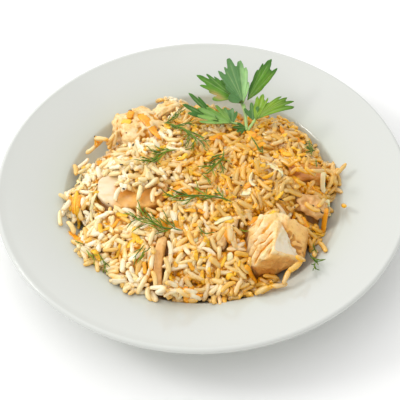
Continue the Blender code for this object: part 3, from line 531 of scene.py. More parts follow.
def dressMeat():
    # further faces as (normal, distance), which faces are torn (1) or smooth and browned (0), which are
    # cut, and how rough and how brown each piece is
    meat["chicken_chunk_right"].update({
        "planes": (((-0.12, -0.66, 0.74), 10.9), ((-0.23, 0.6, 0.78), 10.6), ((-0.92, -0.39, 0.09), 10.6),
                   ((-0.65, -0.52, -0.55), 13.9), ((0.57, 0.64, 0.51), 17.8), ((-0.65, 0.66, -0.36), 16.6),
                   ((-0.05, 0.99, 0.13), 14.8)),
        "torn": (0.6, 0.25, 1, 0.1, 0.6, 0.2, 0.0, 1, 0.2, 0.2, 1, 0.5, 1),
        "cut": (0, 0, 0, 0, 0, 0, 1, 0, 0, 0, 0, 0, 0),
        "creases": chunkCreases, "relief": 1.9, "lump": 0.6, "brown": 0.6,
    })
    meat["chicken_slice_left"].update({
        "planes": (((-0.62, -0.75, -0.25), 15.5), ((-0.6, 0.8, 0), 18.5), ((0.6, -0.75, -0.3), 17.5)),
        "torn": (0.5, 0.5, 0.1, 0.05, 0.03, 0.2, 0.1, 0.2, 0.1), "relief": 0.6, "lump": 0.45,
        "creases": sliceLayers,
    })
    meat["chicken_back_left"].update({
        "torn": (0.75,) * 6, "relief": 0.6, "lump": 1.2, "crumb": 1.5, "brown": 0.3,
    })
    meat["chicken_strip_back"].update({
        "torn": (0.9,) * 6, "relief": 0.7, "lump": 2.2, "crumb": 0.9, "bend": 2,
    })
    meat["chicken_wedge_right"].update({
        "torn": (0.7, 0.6, 0.4, 0.4, 0.4, 0.2), "relief": 1.8, "crumb": 1.6, "brown": 1.0, "flake": 2.6,
    })
    meat["chicken_right"].update({
        "planes": (((-0.7, 0.7, 0.3), 7), ((-0.7, -0.7, 0.2), 7.5)),
        "torn": (0.7, 0.7, 0.5, 0.5, 0.45, 0.2, 0.6, 0.6),
        "relief": 1.7, "crumb": 1.7, "lump": 1.5, "brown": 0.75,
    })
    meat["chicken_middle"].update({
        "torn": (0.3,) * 6, "cut": (0.6,) * 6, "relief": 0.7, "lump": 1.7, "brown": 0.1,
    })
    meat["chicken_strand_front"].update({
        "torn": (0.35,) * 6, "relief": 1.8, "flake": 2.6, "bend": 1.8, "brown": 0.55, "narrow": 0.3,
    })
    meat["chicken_flat_middle"].update({
        "torn": (0.7,) * 6, "relief": 1.2, "flake": 2.2, "brown": 0.3, "narrow": 0.35,
    })


def boiledChicken():
    # boiled chicken breast, torn along its fibres: cream strands, juice and carrot oil in the creases together
    # with painted shade there, tan where browned
    material, tree, shader = startMaterial(
        "boiledChickenMeat", IOR=1.4, Roughness=0.42, Coat_Weight=0.25, Coat_Roughness=0.25,
        Subsurface_Weight=0.2, Subsurface_Scale=0.0015, Subsurface_Radius=(1.0, 0.62, 0.32))
    torn = readValue(tree, "torn")
    cut = readValue(tree, "cut")
    juiceAndShade = readValue(tree, "juiceAndShade")
    blotch = noiseAt(tree, 6, 3)
    strand = mixColours(tree, rampBetween(tree, blotch, 0.35, 0.7),
                        meatTones["strand"], meatTones["strandDeep"])
    tan = mixColours(tree, rampBetween(tree, noiseAt(tree, 9, 3), 0.4, 0.65),
                     meatTones["tan"], meatTones["tanDeep"])
    browned = calculate(tree, "MULTIPLY", readValue(tree, "brown"),
                        rampBetween(tree, noiseAt(tree, 6, 3), 0.2, 0.6))
    tan = mixColours(tree, browned, tan, meatTones["browned"])
    # a browned piece keeps some tan on its torn faces too
    plain = calculate(tree, "SUBTRACT", 1.0, calculate(tree, "POWER", readValue(tree, "brown"), 2.0))
    base = mixColours(tree, calculate(tree, "MULTIPLY", rampBetween(tree, torn, 0.1, 0.6), plain), tan, strand)
    fleck = calculate(tree, "MULTIPLY", rampBetween(tree, noiseAt(tree, 1.5, 3), 0.5, 0.72), 0.4)
    base = mixColours(tree, fleck, base, meatTones["fleck"])
    pale = mixColours(tree, rampBetween(tree, noiseAt(tree, 5, 2, 0.5, (3, 1, 1)), 0.4, 0.7),
                      meatTones["cut"], meatTones["cutDeep"])
    faced = mixColours(tree, rampBetween(tree, cut, 0.35, 0.75), base, pale)
    # juice colour in the creases and hollows, which is also their painted shade
    juice = mixColours(tree, rampBetween(tree, noiseAt(tree, 3, 2), 0.4, 0.6),
                       meatTones["juice"], meatTones["juiceDeep"])
    juice = mixColours(tree, calculate(tree, "MULTIPLY", readValue(tree, "brown"), 0.6), juice,
                       meatTones["juiceBrowned"])
    colour = mixColours(tree, rampBetween(tree, juiceAndShade, 0.34, 0.75), faced, juice)
    tree.links.new(colour, shader.inputs["Base Color"])
    tree.links.new(bumpFrom(tree, noiseAt(tree, 0.7, 2, 0.6, (2, 1, 1)), 0.12), shader.inputs["Normal"])
    return material


heights = plateHeight(np.hypot(*np.meshgrid(fieldAxis(), fieldAxis())))
dressMeat()
chickenMaterial = boiledChicken()
meatTop = np.full_like(heights, field["empty"])
for name, values in meat.items():
    points, marks = meatPiece(name, values)
    item = putMesh(name.replace("chicken_", "meat_"), points, tubeFaces(*values["grid"]),
                   chickenMaterial, marks)
    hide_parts(name)
    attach(item, "root")
    meatTop = stampMesh(meatTop, points, *values["grid"])  # top of the meat over each cell
print("chicken made:", len(meat), "pieces")


rice = {
    "length": 9.4, "width": 3.1, "flat": 0.84, "rings": 7, "sides": 7, "depth": 7.0, "sink": (0.9, 2.0),
    "bedDrop": 1.1, "bedInset": 5, "bedTurns": 360, "bedRings": 110, "seed": 21,
    "pale": "#F6ECCE", "cream": "#EEDAA2", "amber": "#E3B458", "soaked": "#C9982E", "golden": "#F1B110",
    "deep": "#DE9208", "shaded": "#A4601A",
    "broth": "#F8C24C", "brothDeep": "#E8A42A", "brothShade": "#A66C1A",
    # places of a grain's rings along its length, from end to end
    "cuts": (-1, -0.965, -0.82, -0.42, 0, 0.42, 0.82, 0.965, 1),
    # grains tried along the edge
    "edgeTries": 520,
    # coats of grains: grains tried, height over the target, least gap that takes a grain, share of short ones
    "coats": {"lower": (3200, -1.6, 0.9, 0.2), "short": (2600, -1.2, 0.6, 0.75), "upper": (3600, 0.4, 0.5, 0.12)},
    # spots that a grain chooses from, how far inside the outline they stay, how far a grain may stand out
    "spots": 40, "inset": 2.5, "standOut": 1.2,
    # a grain whose half length is below this share of the length counts as broken
    "brokenBelow": 0.36,
    # grains kept in each piece, the last laid; at 98 triangles each it stays under 200,000
    "most": 2040,
    # where the rice stops short of the heap's foot and the plate's wall shows: azimuth, half width, depth
    "drawnIn": ((173, 5, 11), (-163, 5, 6), (-12, 9, 4), (-80, 14, 2.5), (29, 9, 4)),
    # grains that lie alone on and beside the meat: x, y, azimuth
    "onMeat": ((37, -12, 150), (44, -9, 75), (31, -5, 110), (-48.1, -16.7, 66), (-36.2, -17.2, 76),
               (-29.2, -11, 34), (-27.7, -17.5, 82), (-25.2, -16.8, 68), (54, 0, 30), (55, 4, 100),
               (56, -3, 60), (53, 3, 0), (58, -5, 10), (62, -5, 170), (66, -4, 20), (54, -14, 60),
               (56, -11, 20), (62, -25, -30), (67, -22, 60), (9.5, -49, 40), (14, -50, 100), (-20.6, -60, 88),
               (-20.2, -66, 80), (-19.5, -54, 95), (-21, -71, 70), (-28, -72, 100), (-28.5, -64, 80),
               (-28, -57, 95), (-22, -78.5, 10), (-18.5, -79.6, -5), (-26, -77.5, 160), (-20.8, -62, 60),
               (-20.5, -68, 110)),
    # grains on the bed below the strip at the back: x, y, azimuth
    "behind": ((-20, 66, 30), (-15, 63, 100), (-11, 66, 60), (-8, 62, 150), (-17, 69, 10), (-12, 70, 80),
               (-23, 65, 60), (-5, 66, 20), (-14, 58, 40), (-9, 58, 110), (-19, 62, 170), (-22, 69, 90),
               (-18, 66, 110), (-15, 67, 160), (-20, 71, 40), (-16, 72, 0), (-24, 61, 20), (-25, 67, 130),
               (-13, 61, 0), (-21, 60, 100), (-17, 64, 50), (-10, 69, 30)),
    # loose grains on the plate's wall and along the front edge: x, y, azimuth
    "stray": ((-18, -81.5, 8), (-12, -82, -6), (-24, -80.5, -14), (-6, -82, 12), (-56.5, 43.5, 84),
              (-52.5, 37, 75), (-55, 36, 40), (-57.5, 35, 100), (-63, 34.5, 5), (-67, 32, 20), (-60, 31, 160),
              (-72, 22, 40), (-76, 17, 100), (-70, 15, 20), (-79, -14, 60), (-82, -22, 95), (-76, -28, 120),
              (34, -75, 30), (40, -74, 10), (44, -71, 60), (30, -77, 5), (49, -66, 40), (52, -62, 20),
              (62, -50, 70), (66, -46, 110), (82, 8, 40), (81, -20, 85), (-18, -79, 15), (-8, -81, 20)),
    # places where the rice lies lower, along the slice's front edge and in a few hollows: x, y, radius, drop
    "hollows": ((-54, -22, 5, 1), (-46, -26, 5, 1.5), (-38, -27, 5, 2), (-29, -26, 5, 2), (49, -28, 5, 5),
                (17, 8, 5, 4), (-18, -55, 4, 4), (52, -22, 4, 4), (12, 18, 4, 3), (33, -30, 4, 4),
                (-16, -68, 4, 3), (51, -24, 4, 4), (31, -30, 4, 4), (30, -69, 5, 6), (35, -72, 4, 6),
                (26, -65, 4, 3)),
    # places where it laps over the back of the slice, the middle piece and the heap's back: x, y, radius, top
    "laps": ((-46, 4, 5, 41), (-39, 0, 6, 42), (-31, -3, 6, 41), (-42, -7, 4.5, 41.5), (-36, -8, 4, 41),
             (-24, -3, 5, 40), (-9, 49, 7, 35), (0, 50, 8, 34), (32, -2, 6, 41), (44, -13, 6, 40),
             (36, -16, 5, 40), (41, -1, 5, 39)),
}


def coreHeight(x, y):
    # the golden bed under the grains: the heap's form lowered by the grains' depth, never into the plate
    radius = np.hypot(x, y)
    ground = plateHeight(radius) + 0.25
    bed = heapHeight(x, y) - rice["depth"] \
        + 1.2 * flatNoise(x / 5, y / 5, 5) + 0.7 * flatNoise(x / 2.2, y / 2.2, 6)
    return np.maximum(bed, ground)


def steamedRice():
    # long-grain rice, steamed in broth: translucent cream grains, a thin film of oil, golden in patches of juice,
    # with painted light on the grains' tops and painted shade on their sides and down between them
    material, tree, shader = startMaterial(
        "steamedLongGrainRice", IOR=1.42, Roughness=0.3, Coat_Weight=0.6, Coat_Roughness=0.15,
        Subsurface_Weight=0.8, Subsurface_Scale=0.0018, Subsurface_Radius=(0.8, 0.75, 0.6))
    shader.subsurface_method = "BURLEY"
    tint = readValue(tree, "tint")
    depth = readValue(tree, "depth")
    stainAndShade = readValue(tree, "stainAndShade")
    oil = readValue(tree, "oil")
    light = mixColours(tree, rampBetween(tree, tint, 0.2, 0.6), rice["pale"], rice["cream"])
    light = mixColours(tree, rampBetween(tree, tint, 0.8, 1.0), light, rice["amber"])
    # soaked: juice colour, and painted shade towards the right
    light = mixColours(tree, calculate(tree, "MULTIPLY", stainAndShade, 0.7), light, rice["soaked"])
    # grains are a little clearer and more golden at their ends
    ends = mixColours(tree, rampBetween(tree, readValue(tree, "along"), 0.6, 1.0), light,
                      mixColours(tree, 0.35, light, rice["golden"]))
    # painted light and shade on each grain: its top stays pale as painted light, its sides are golden as painted
    # shade, more so where juice and oil lie
    litTop = rampBetween(tree, readValue(tree, "litTop"), 0.35, 0.92)
    wet = calculate(tree, "ADD", calculate(tree, "MULTIPLY", stainAndShade, 0.42), 0.12)
    side = mixColours(tree, calculate(tree, "MULTIPLY_ADD", oil, 0.6, wet), ends, rice["golden"])
    stained = mixColours(tree, calculate(tree, "MULTIPLY", oil, 0.4), mixColours(tree, litTop, side, ends),
                         rice["golden"])
    # painted shade: golden, then brown, the deeper a point lies under the lid
    sunk = mixColours(tree, rampBetween(tree, depth, 0.14, 0.5), stained,
                      mixColours(tree, 0.45, rice["golden"], rice["deep"]))
    sunk = mixColours(tree, rampBetween(tree, depth, 0.65, 1.1), sunk, rice["shaded"])
    tree.links.new(sunk, shader.inputs["Base Color"])
    tree.links.new(bumpFrom(tree, noiseAt(tree, 1.1, 2), 0.12), shader.inputs["Normal"])
    return material


def riceOutline(azimuth):
    # radius of the grains' edge: the heap's outline less each place where the rice stops short
    return drawIn(heapOutline(azimuth), azimuth, rice["drawnIn"])


def restGrain(heights, x, y, turns, half, rng):
    # try a grain at each of a few turns, tilted by the slope below it and by chance, at the height where it
    # first touches, and keep the turn that lies lowest
    s = np.linspace(-0.85, 0.85, 7)
    t = np.array([-0.5, 0.0, 0.5])
    sGrid, tGrid = np.meshgrid(s, t, indexing="ij")
    c, n = np.cos(turns)[:, None, None], np.sin(turns)[:, None, None]
    px = x + half[0] * sGrid * c - half[1] * tGrid * n
    py = y + half[0] * sGrid * n + half[1] * tGrid * c
    row, column = fieldIndex(px, py)
    below = heights[row, column]
    ridge = below.max(2)
    slope = (ridge * s).sum(1) / (s * s).sum() / half[0]
    slope = np.clip(np.clip(slope, -0.9, 0.9) + rng.normal(0, 0.45, len(turns)), -1.1, 1.1)
    belly = half[2] * np.sqrt(np.clip(1 - sGrid**2 - tGrid**2, 0, 1))
    z = (below - slope[:, None, None] * half[0] * sGrid + belly).max((1, 2))
    best = int(np.argmin(z))
    return z[best], turns[best], slope[best]


def stampGrain(heights, x, y, z, turn, slope, half):
    # raise the field by the grain's upper half
    reach = half[0] + field["cell"]
    low = fieldIndex(np.array(x - reach), np.array(y - reach))
    high = fieldIndex(np.array(x + reach), np.array(y + reach))
    window = (slice(int(low[0]), int(high[0]) + 1), slice(int(low[1]), int(high[1]) + 1))
    axis = fieldAxis()
    dx, dy = np.meshgrid(axis[window[1]] - x, axis[window[0]] - y)
    along = (dx * math.cos(turn) + dy * math.sin(turn)) / half[0]
    across = (dy * math.cos(turn) - dx * math.sin(turn)) / half[1]
    inside = 1 - along**2 - across**2
    top = z + slope * along * half[0] + half[2] * np.sqrt(np.clip(inside, 0, 1))
    heights[window] = np.where(inside > 0, np.maximum(heights[window], top), heights[window])


def halfSizes(length, width):
    # half length, half width and half height of a grain from its shares of the usual length and width
    return np.array([rice["length"] * length, rice["width"] * width, rice["width"] * rice["flat"]]) / 2


def grainSize(rng, broken):
    # sizes of a grain drawn by chance; a share of the grains is broken short
    length = rng.uniform(0.36, 0.66) if rng.random() < broken else rng.uniform(0.8, 1.28)
    return halfSizes(length, rng.uniform(0.84, 1.12))


def layGrain(heights, x, y, turns, half, rng, limit):
    # rest one grain, press it in a little, and raise the field by it, unless it would stand above the limit
    z, turn, slope = restGrain(heights, x, y, turns, half, rng)
    z = z - rng.uniform(*rice["sink"])
    if z > limit:
        return None
    stampGrain(heights, x, y, z, turn, slope, half)
    return (x, y, z, turn, math.atan(slope), *half)


def layGrains(heights, target, coat, rng):
    # each grain goes to the spot with the largest gap up to the coat's height, of the spots that it chooses from
    count, lift, least, broken = rice["coats"][coat]
    goal = target + lift
    laid = []
    for _ in range(count):
        angle = rng.uniform(-math.pi, math.pi, rice["spots"])
        reach = (riceOutline(angle) - rice["inset"]) * np.sqrt(rng.uniform(0, 1, rice["spots"]))
        tryX, tryY = reach * np.cos(angle), reach * np.sin(angle)
        row, column = fieldIndex(tryX, tryY)
        gap = goal[row, column] - heights[row, column] + rng.normal(0, 0.5, rice["spots"])
        best = int(np.argmax(gap))
        if gap[best] > least:
            limit = goal[row[best], column[best]] + rice["standOut"]
            turns, half = rng.uniform(0, math.pi, 2), grainSize(rng, broken)
            laid.append(layGrain(heights, tryX[best], tryY[best], turns, half, rng, limit))
    return [grain for grain in laid if grain]


def grainMesh(name, laid, material, lid, rng):
    # every grain at once: rings along a bent axis, narrowed by (1 - |u|^5)^0.5 to blunt ends, flattened,
    # rolled a little and waisted; depth is the share of 6 mm that a point lies under the lid
    laid = np.array(laid)
    count = len(laid)
    rings, sides = rice["rings"], rice["sides"]
    u = np.array(rice["cuts"], float)
    girth = (1 - np.abs(u) ** 5) ** 0.5
    angle = np.linspace(0, 2 * math.pi, sides, endpoint=False)
    centre, turn, tilt, half = laid[:, :3], laid[:, 3], laid[:, 4], laid[:, 5:8]
    axis = np.stack([np.cos(turn) * np.cos(tilt), np.sin(turn) * np.cos(tilt), np.sin(tilt)], -1)
    side = np.stack([-np.sin(turn), np.cos(turn), 0 * turn], -1)
    up = np.cross(axis, side)
    roll = rng.uniform(-0.6, 0.6, count)[:, None]
    side, up = side * np.cos(roll) + up * np.sin(roll), up * np.cos(roll) - side * np.sin(roll)
    bend = rng.normal(0, 0.12, count)[:, None] * half[:, :1]
    sag = rng.normal(0.02, 0.05, count)[:, None] * half[:, :1]
    taper = rng.uniform(-0.16, 0.16, count)[:, None]
    s = u[None] * half[:, :1]
    bow = 1 - u[None] ** 2
    line = centre[:, None] + axis[:, None] * s[..., None] + side[:, None] * (bend * bow)[..., None] \
        + up[:, None] * (-sag * bow)[..., None]
    fat = girth[None] * (1 + taper * u[None])
    phases = rng.uniform(0, 2 * math.pi, (count, 3, 1))
    waist = 1 + 0.06 * np.sin(5 * u + phases[:, 0]) + 0.05 * np.sin(9 * u + phases[:, 1])
    wobble = waist[..., None] * (1 + 0.09 * np.cos(2 * angle + phases[:, 2])[:, None])
    breadth = np.cos(angle) * half[:, 1, None, None] * fat[..., None] * wobble
    rise = np.sin(angle) * half[:, 2, None, None] * fat[..., None] * wobble
    rim = side[:, None, None] * breadth[..., None] + up[:, None, None] * rise[..., None]
    ring = (line[:, :, None] + rim)[:, 1:-1].reshape(count, -1, 3)
    points = np.concatenate([line[:, :1], ring, line[:, -1:]], 1)
    per = points.shape[1]
    tint = np.repeat(rng.uniform(0, 1, count) ** 0.8, per)
    alongShare = np.concatenate([[1.0], np.repeat(np.abs(u[1:-1]), sides), [1.0]])
    # how high a point sits on its grain, for the painted light on the top and the painted shade on the sides
    litTop = 0.5 + 0.5 * rim[:, 1:-1, :, 2].reshape(count, -1) / half[:, 2:3]
    litTop = np.concatenate([litTop[:, :1] * 0 + 0.5, litTop, litTop[:, :1] * 0 + 0.5], 1).ravel()
    points = points.reshape(-1, 3)
    x, y = points[:, 0], points[:, 1]
    depth = np.clip((lid[fieldIndex(x, y)] + 0.6 - points[:, 2]) / 6, 0, 1)
    # light reaches down between the grains at the heap's foot
    inward = riceOutline(np.arctan2(y, x)) - np.hypot(x, y)
    depth = depth * np.clip(inward / 10, 0.3, 1)
    # the juice gathers in the middle and in patches, least at the front; the rise towards the right, here and in
    # the oil, is partly painted shade on the side away from the light
    poolAndShade = 0.54 + 0.012 * np.clip(x, -60, 40) + 0.005 * np.clip(y + 20, -50, 0)
    poolAndShade = poolAndShade + 0.45 * np.exp(-((x - 5) ** 2 + y**2) / 30**2) + 0.6 * flatNoise(x / 9, y / 9, 31)
    oil = flatNoise(x / 5, y / 5, 33) * 3 + 0.15 + 0.008 * x
    values = {"tint": tint, "along": np.tile(alongShare, count), "depth": depth, "litTop": litTop,
              "stainAndShade": np.clip(poolAndShade, 0, 1), "oil": np.clip(oil, 0, 1)}
    item = putMesh(name, points, tubeFaces(rings, sides, count), material, values)
    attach(item, "root")
    return item


# shreds: x, y, azimuth, length, width, 0 for orange or 1 for yellow, and for some the bend
carrot = {
    "thickness": 1.3, "rings": 9, "sides": 8, "seed": 41,
    # thinner shreds scattered over the top: number, reach from the middle, thickness
    "scattered": 130, "reach": 76, "thin": 1.0,
    "orange": "#FCAA1A", "yellow": "#FDC22C", "pith": "#EC7E08",
    "laid": ((-43, 50, 70, 7.8, 4.2, 0), (-45, 43, -30, 6.7, 5, 1), (-31, 38.6, -57.4, 26.9, 5.5, 0, 1.5),
             (-62, 20, -80, 12.3, 3.8, 0), (-77.6, -10, -82, 13.4, 3, 1, 1), (-75.4, -11, -86, 14.6, 3, 0, 0.6),
             (-73.2, -11.5, -90, 14.6, 3, 1, -0.4), (-71.2, -13, -93, 10.1, 2.8, 0, -0.8),
             (-73, -36, -57, 16.8, 3.2, 0), (-60, -49, -49, 9, 3.2, 1), (-41, -43, -113, 12.3, 3.8, 1),
             (-29, -62, -96, 9, 2.8, 0), (-42, 14, -43, 7.8, 3.8, 1), (-62, -9, -56, 6.7, 3.2, 1),
             (-20, -17, 29, 6.7, 3.8, 1), (-15, -13, 52, 6.7, 3.8, 0), (-7, -15, -9, 10.1, 4.5, 0),
             (-5, -19, -11, 9, 3.8, 0), (-7, 2, -85, 7.8, 3, 1), (9, 29, 20, 10.1, 4, 0),
             (26, 46, -85, 11.2, 4.2, 0), (31, 46, -80, 9, 3.8, 0), (33, 31, -43, 11.2, 3.8, 0),
             (35, 21, 38, 10.1, 3.8, 0), (47, 18, -79, 10.1, 3.2, 0), (53, 10, 6, 11.2, 4, 1),
             (53, -4, -60, 9, 3.8, 1), (68, -8, 7, 10.1, 3, 0), (50, -28, 43, 10.1, 3.8, 0),
             (50, 37, -58, 5.6, 3, 0), (43, 50, -80, 9, 3.8, 1), (26, -12, 29, 5.6, 3.8, 0),
             (34, -2, -27, 5.6, 3.2, 1), (43, -21, 40, 6.7, 3, 1), (42, -34, 18, 13.4, 4, 1),
             (28, -35, 29, 9, 3.8, 0), (11, -37, -13, 12.3, 4.2, 1), (13, -47, -61, 9, 3.5, 0),
             (10, -59, -111, 10.1, 3.5, 0), (-14, -38, -37, 6.7, 3.5, 0), (-1, -31, -40, 5.6, 3.2, 0),
             (-11, -77, -86, 7.8, 3.8, 0), (-5, -75, -23, 7.8, 4.2, 0), (14, -69, 39, 6.7, 3, 1),
             (25, -65, -20, 7.8, 3.8, 0), (36, -70, 20, 7.8, 3.5, 1), (69, -27, -106, 7.8, 3.2, 0),
             (58, -30, -49, 6.7, 3.8, 0), (-35, -46, -61, 6.7, 3, 1), (-20, 40, -70, 6.7, 3.2, 1),
             (-12, 12, 22, 7.8, 3, 1), (6, 14, -35, 9, 3.2, 1), (3, 2, -160, 7.8, 3, 0),
             (-50, -32, 27, 6.7, 3, 0), (-24, 21, 37, 7.8, 3, 1), (-21, -37, -40, 9, 2.8, 0),
             (2, -52, -51, 6.7, 3, 1), (21, -48, -49, 6.7, 3, 0), (16, -21, 23, 7.8, 3, 1),
             (27, 43, 110, 9, 5, 0), (30, 44, 70, 8, 4, 0), (24, 50, 60, 8, 4, 0), (30, 48, 100, 8, 4, 0),
             (33, 42, -70, 8, 4, 1), (31, 32, -60, 9, 4, 0), (7, 54, 20, 7, 3.5, 0), (60, 31, -36, 7.8, 3, 0),
             (-46, -27, -24, 7.8, 3, 1)),
}
onion = {
    "count": 30, "reach": 68, "goldenAngle": 2.39996, "length": 7, "width": 4, "thickness": 0.9, "rings": 7,
    "sides": 8, "seed": 43, "clear": "#F6E2B0", "browned": "#E2AE62",
    # pieces that lie on top: x, y, azimuth, length, width, bend
    "laid": [(-61.6, -18.4, -102, 17, 1.6, -2.6), (-72, 8, 85, 12, 2.4, 3.4), (-67, 8, 85, 12, 2.4, -3),
             (-64, -4, 10, 6, 1.6, 1.4), (-64, -6, 10, 6, 1.6, -1.2), (34, -2, 40, 10, 2.0, 3.2),
             (40, -4, 60, 9, 1.8, -3), (47, -28, 30, 9, 4.0, 1.5), (30, -10, 100, 9, 2.0, 2.6),
             (72, -4, 80, 10, 3.0, 2.2), (74, -14, 95, 9, 3.0, 1.8), (-8, -24, 20, 9, 2.2, 2.0),
             (41, -7, -50, 13, 2.6, 3.0), (11, -38, 15, 11, 2.8, 1.6), (16.5, -48, -78, 15, 3.0, -1.5)],
}


def drapePath(heights, x, y, turn, length, bend, lift, steps):
    # a line bent by bend * (1 - u^2), each point at the median height round it, then smoothed
    u = np.linspace(-1, 1, steps)
    c, n = math.cos(turn), math.sin(turn)
    s, t = u * length / 2, bend * (1 - u**2)
    px, py = x + s * c - t * n, y + s * n + t * c
    around = np.array([(0, 0), (0.8, 0), (-0.8, 0), (0, 0.8), (0, -0.8)])
    row, column = fieldIndex(px[:, None] + around[:, 0], py[:, None] + around[:, 1])
    z = smoothLine(np.median(heights[row, column], 1), 2)
    return np.stack([px, py, z + lift], -1)


def stampPath(heights, path, width, thickness):
    # raise the field along a path, over seven lines side by side
    fine = alongPath(path, np.linspace(0, 1, 40))
    side = np.gradient(fine[:, :2], axis=0)
    side = np.stack([-side[:, 1], side[:, 0]], -1) / np.maximum(np.linalg.norm(side, axis=1), 1e-6)[:, None]
    for share in np.linspace(-0.5, 0.5, 7):
        place = fine[:, :2] + side * width * share
        row, column = fieldIndex(place[:, 0], place[:, 1])
        np.maximum.at(heights, (row, column), fine[:, 2] + thickness / 2)


def stripMesh(name, paths, widths, thickness, twists, rings, sides, material, values, taper=4):
    # rounded strips, all at once: a squared oval carried along each path, turned by its twist, and
    # narrowed by 1 - 0.75 |u|^taper towards the ends
    paths, widths = np.array(paths), np.array(widths, float)
    count = len(paths)
    inner = paths[:, 1:-1]
    ahead = np.gradient(paths, axis=1)[:, 1:-1]
    ahead /= np.linalg.norm(ahead, axis=-1, keepdims=True)
    side = np.cross((0, 0, 1.0), ahead)
    side /= np.maximum(np.linalg.norm(side, axis=-1, keepdims=True), 1e-6)
    up = np.cross(ahead, side)
    u = np.linspace(-1, 1, rings + 2)[1:-1]
    turn = np.array(twists)[:, None] * u[None] + np.array(twists)[:, None] * 0.5
    turn = turn[..., None]
    side, up = side * np.cos(turn) + up * np.sin(turn), up * np.cos(turn) - side * np.sin(turn)
    angle = np.linspace(0, 2 * math.pi, sides, endpoint=False) + math.pi / sides
    wide = np.sign(np.cos(angle)) * np.abs(np.cos(angle)) ** 0.7
    high = np.sign(np.sin(angle)) * np.abs(np.sin(angle)) ** 0.7
    narrow = (1 - np.abs(u) ** taper * 0.75)[None, :, None, None]
    thick = np.broadcast_to(np.asarray(thickness, float), (count,))[:, None, None, None]
    breadth = wide[None, None, :, None] * widths[:, None, None, None] / 2 * narrow
    rise = high[None, None, :, None] * thick / 2 * narrow
    ring = inner[:, :, None] + side[:, :, None] * breadth + up[:, :, None] * rise
    points = np.concatenate([paths[:, :1], ring.reshape(count, -1, 3), paths[:, -1:]], 1)
    per = points.shape[1]
    values = {key: np.repeat(array, per) for key, array in values.items()}
    item = putMesh(name, points.reshape(-1, 3), tubeFaces(rings, sides, count), material, values)
    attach(item, "root")
    return item


def gratedCarrot():
    # raw carrot grated and fried in oil: wet translucent strips, orange to yellow, darker along some edges
    material, tree, shader = startMaterial(
        "gratedFriedCarrot", IOR=1.42, Roughness=0.32, Coat_Weight=0.3, Coat_Roughness=0.15,
        Subsurface_Weight=0.5, Subsurface_Scale=0.0015, Subsurface_Radius=(1.0, 0.7, 0.2))
    plain = mixColours(tree, readValue(tree, "yellow"), carrot["orange"], carrot["yellow"])
    edge = rampBetween(tree, noiseAt(tree, 2.2, 2, 0.5, (2, 1, 1)), 0.52, 0.72)
    colour = mixColours(tree, calculate(tree, "MULTIPLY", edge, 0.6), plain, carrot["pith"])
    tree.links.new(colour, shader.inputs["Base Color"])
    tree.links.new(bumpFrom(tree, noiseAt(tree, 1.0, 2), 0.25), shader.inputs["Normal"])
    return material


def sweatedOnion():
    # onion sweated in oil: clear, thin and glossy, browned here and there
    material, tree, shader = startMaterial(
        "sweatedOnion", IOR=1.4, Roughness=0.25, Coat_Weight=0.4, Coat_Roughness=0.1,
        Subsurface_Weight=0.7, Subsurface_Scale=0.002, Subsurface_Radius=(1.0, 0.7, 0.35))
    brown = rampBetween(tree, noiseAt(tree, 6, 2), 0.5, 0.75)
    tree.links.new(mixColours(tree, brown, onion["clear"], onion["browned"]), shader.inputs["Base Color"])
    tree.links.new(bumpFrom(tree, noiseAt(tree, 1.4, 1), 0.2), shader.inputs["Normal"])
    return material


def layStrips(heights, spots, thickness, steps, rng, bendShare, sink):
    # drape every strip on the field in turn, bent by chance unless its bend in millimetres is given
    paths, widths, twists = [], [], []
    for x, y, azimuth, length, width, *bend in spots:
        bend = bend[0] if bend else rng.normal(0, bendShare) * length
        lift = thickness / 2 - sink
        path = drapePath(heights, x, y, math.radians(azimuth), length, bend, lift, steps)
        stampPath(heights, path, width, thickness)
        paths.append(path)
        widths.append(width)
        twists.append(rng.normal(0, 0.35))
    return paths, widths, twists


def coverMask(spots, margin):
    # 1 on the field cells that the strips cover
    mask = np.zeros_like(gridX)
    for x, y, azimuth, length, width, *_ in spots:
        turn = math.radians(azimuth)
        along = (gridX - x) * math.cos(turn) + (gridY - y) * math.sin(turn)
        across = (gridY - y) * math.cos(turn) - (gridX - x) * math.sin(turn)
        mask[(np.abs(along) < length / 2 + margin) & (np.abs(across) < width / 2 + margin)] = 1
    return mask


def edgeGrains(heights, count, rng):
    # loose grains along the heap's foot, where the plate would show
    laid = []
    azimuth = rng.uniform(-math.pi, math.pi, count)
    reach = riceOutline(azimuth) - rng.uniform(0.6, 6, count)
    ground = plateHeight(reach)
    for x, y, floor in zip(reach * np.cos(azimuth), reach * np.sin(azimuth), ground):
        if heights[fieldIndex(x, y)] < floor + 3.2:
            turns, half = rng.uniform(0, math.pi, 3), grainSize(rng, 0.2)
            laid.append(layGrain(heights, x, y, turns, half, rng, floor + 6))
    return [grain for grain in laid if grain]


def patchGrains(heights, spots, rng, sink=0.3):
    # grains laid at given spots: x, y, azimuth
    laid = []
    for x, y, azimuth in spots:
        half = halfSizes(rng.uniform(0.9, 1.1), rng.uniform(0.9, 1.05))
        z, turn, slope = restGrain(heights, x, y, np.array([math.radians(azimuth)]), half, rng)
        stampGrain(heights, x, y, z - sink, turn, slope, half)
        laid.append((x, y, z - sink, turn, math.atan(slope), *half))
    return laid


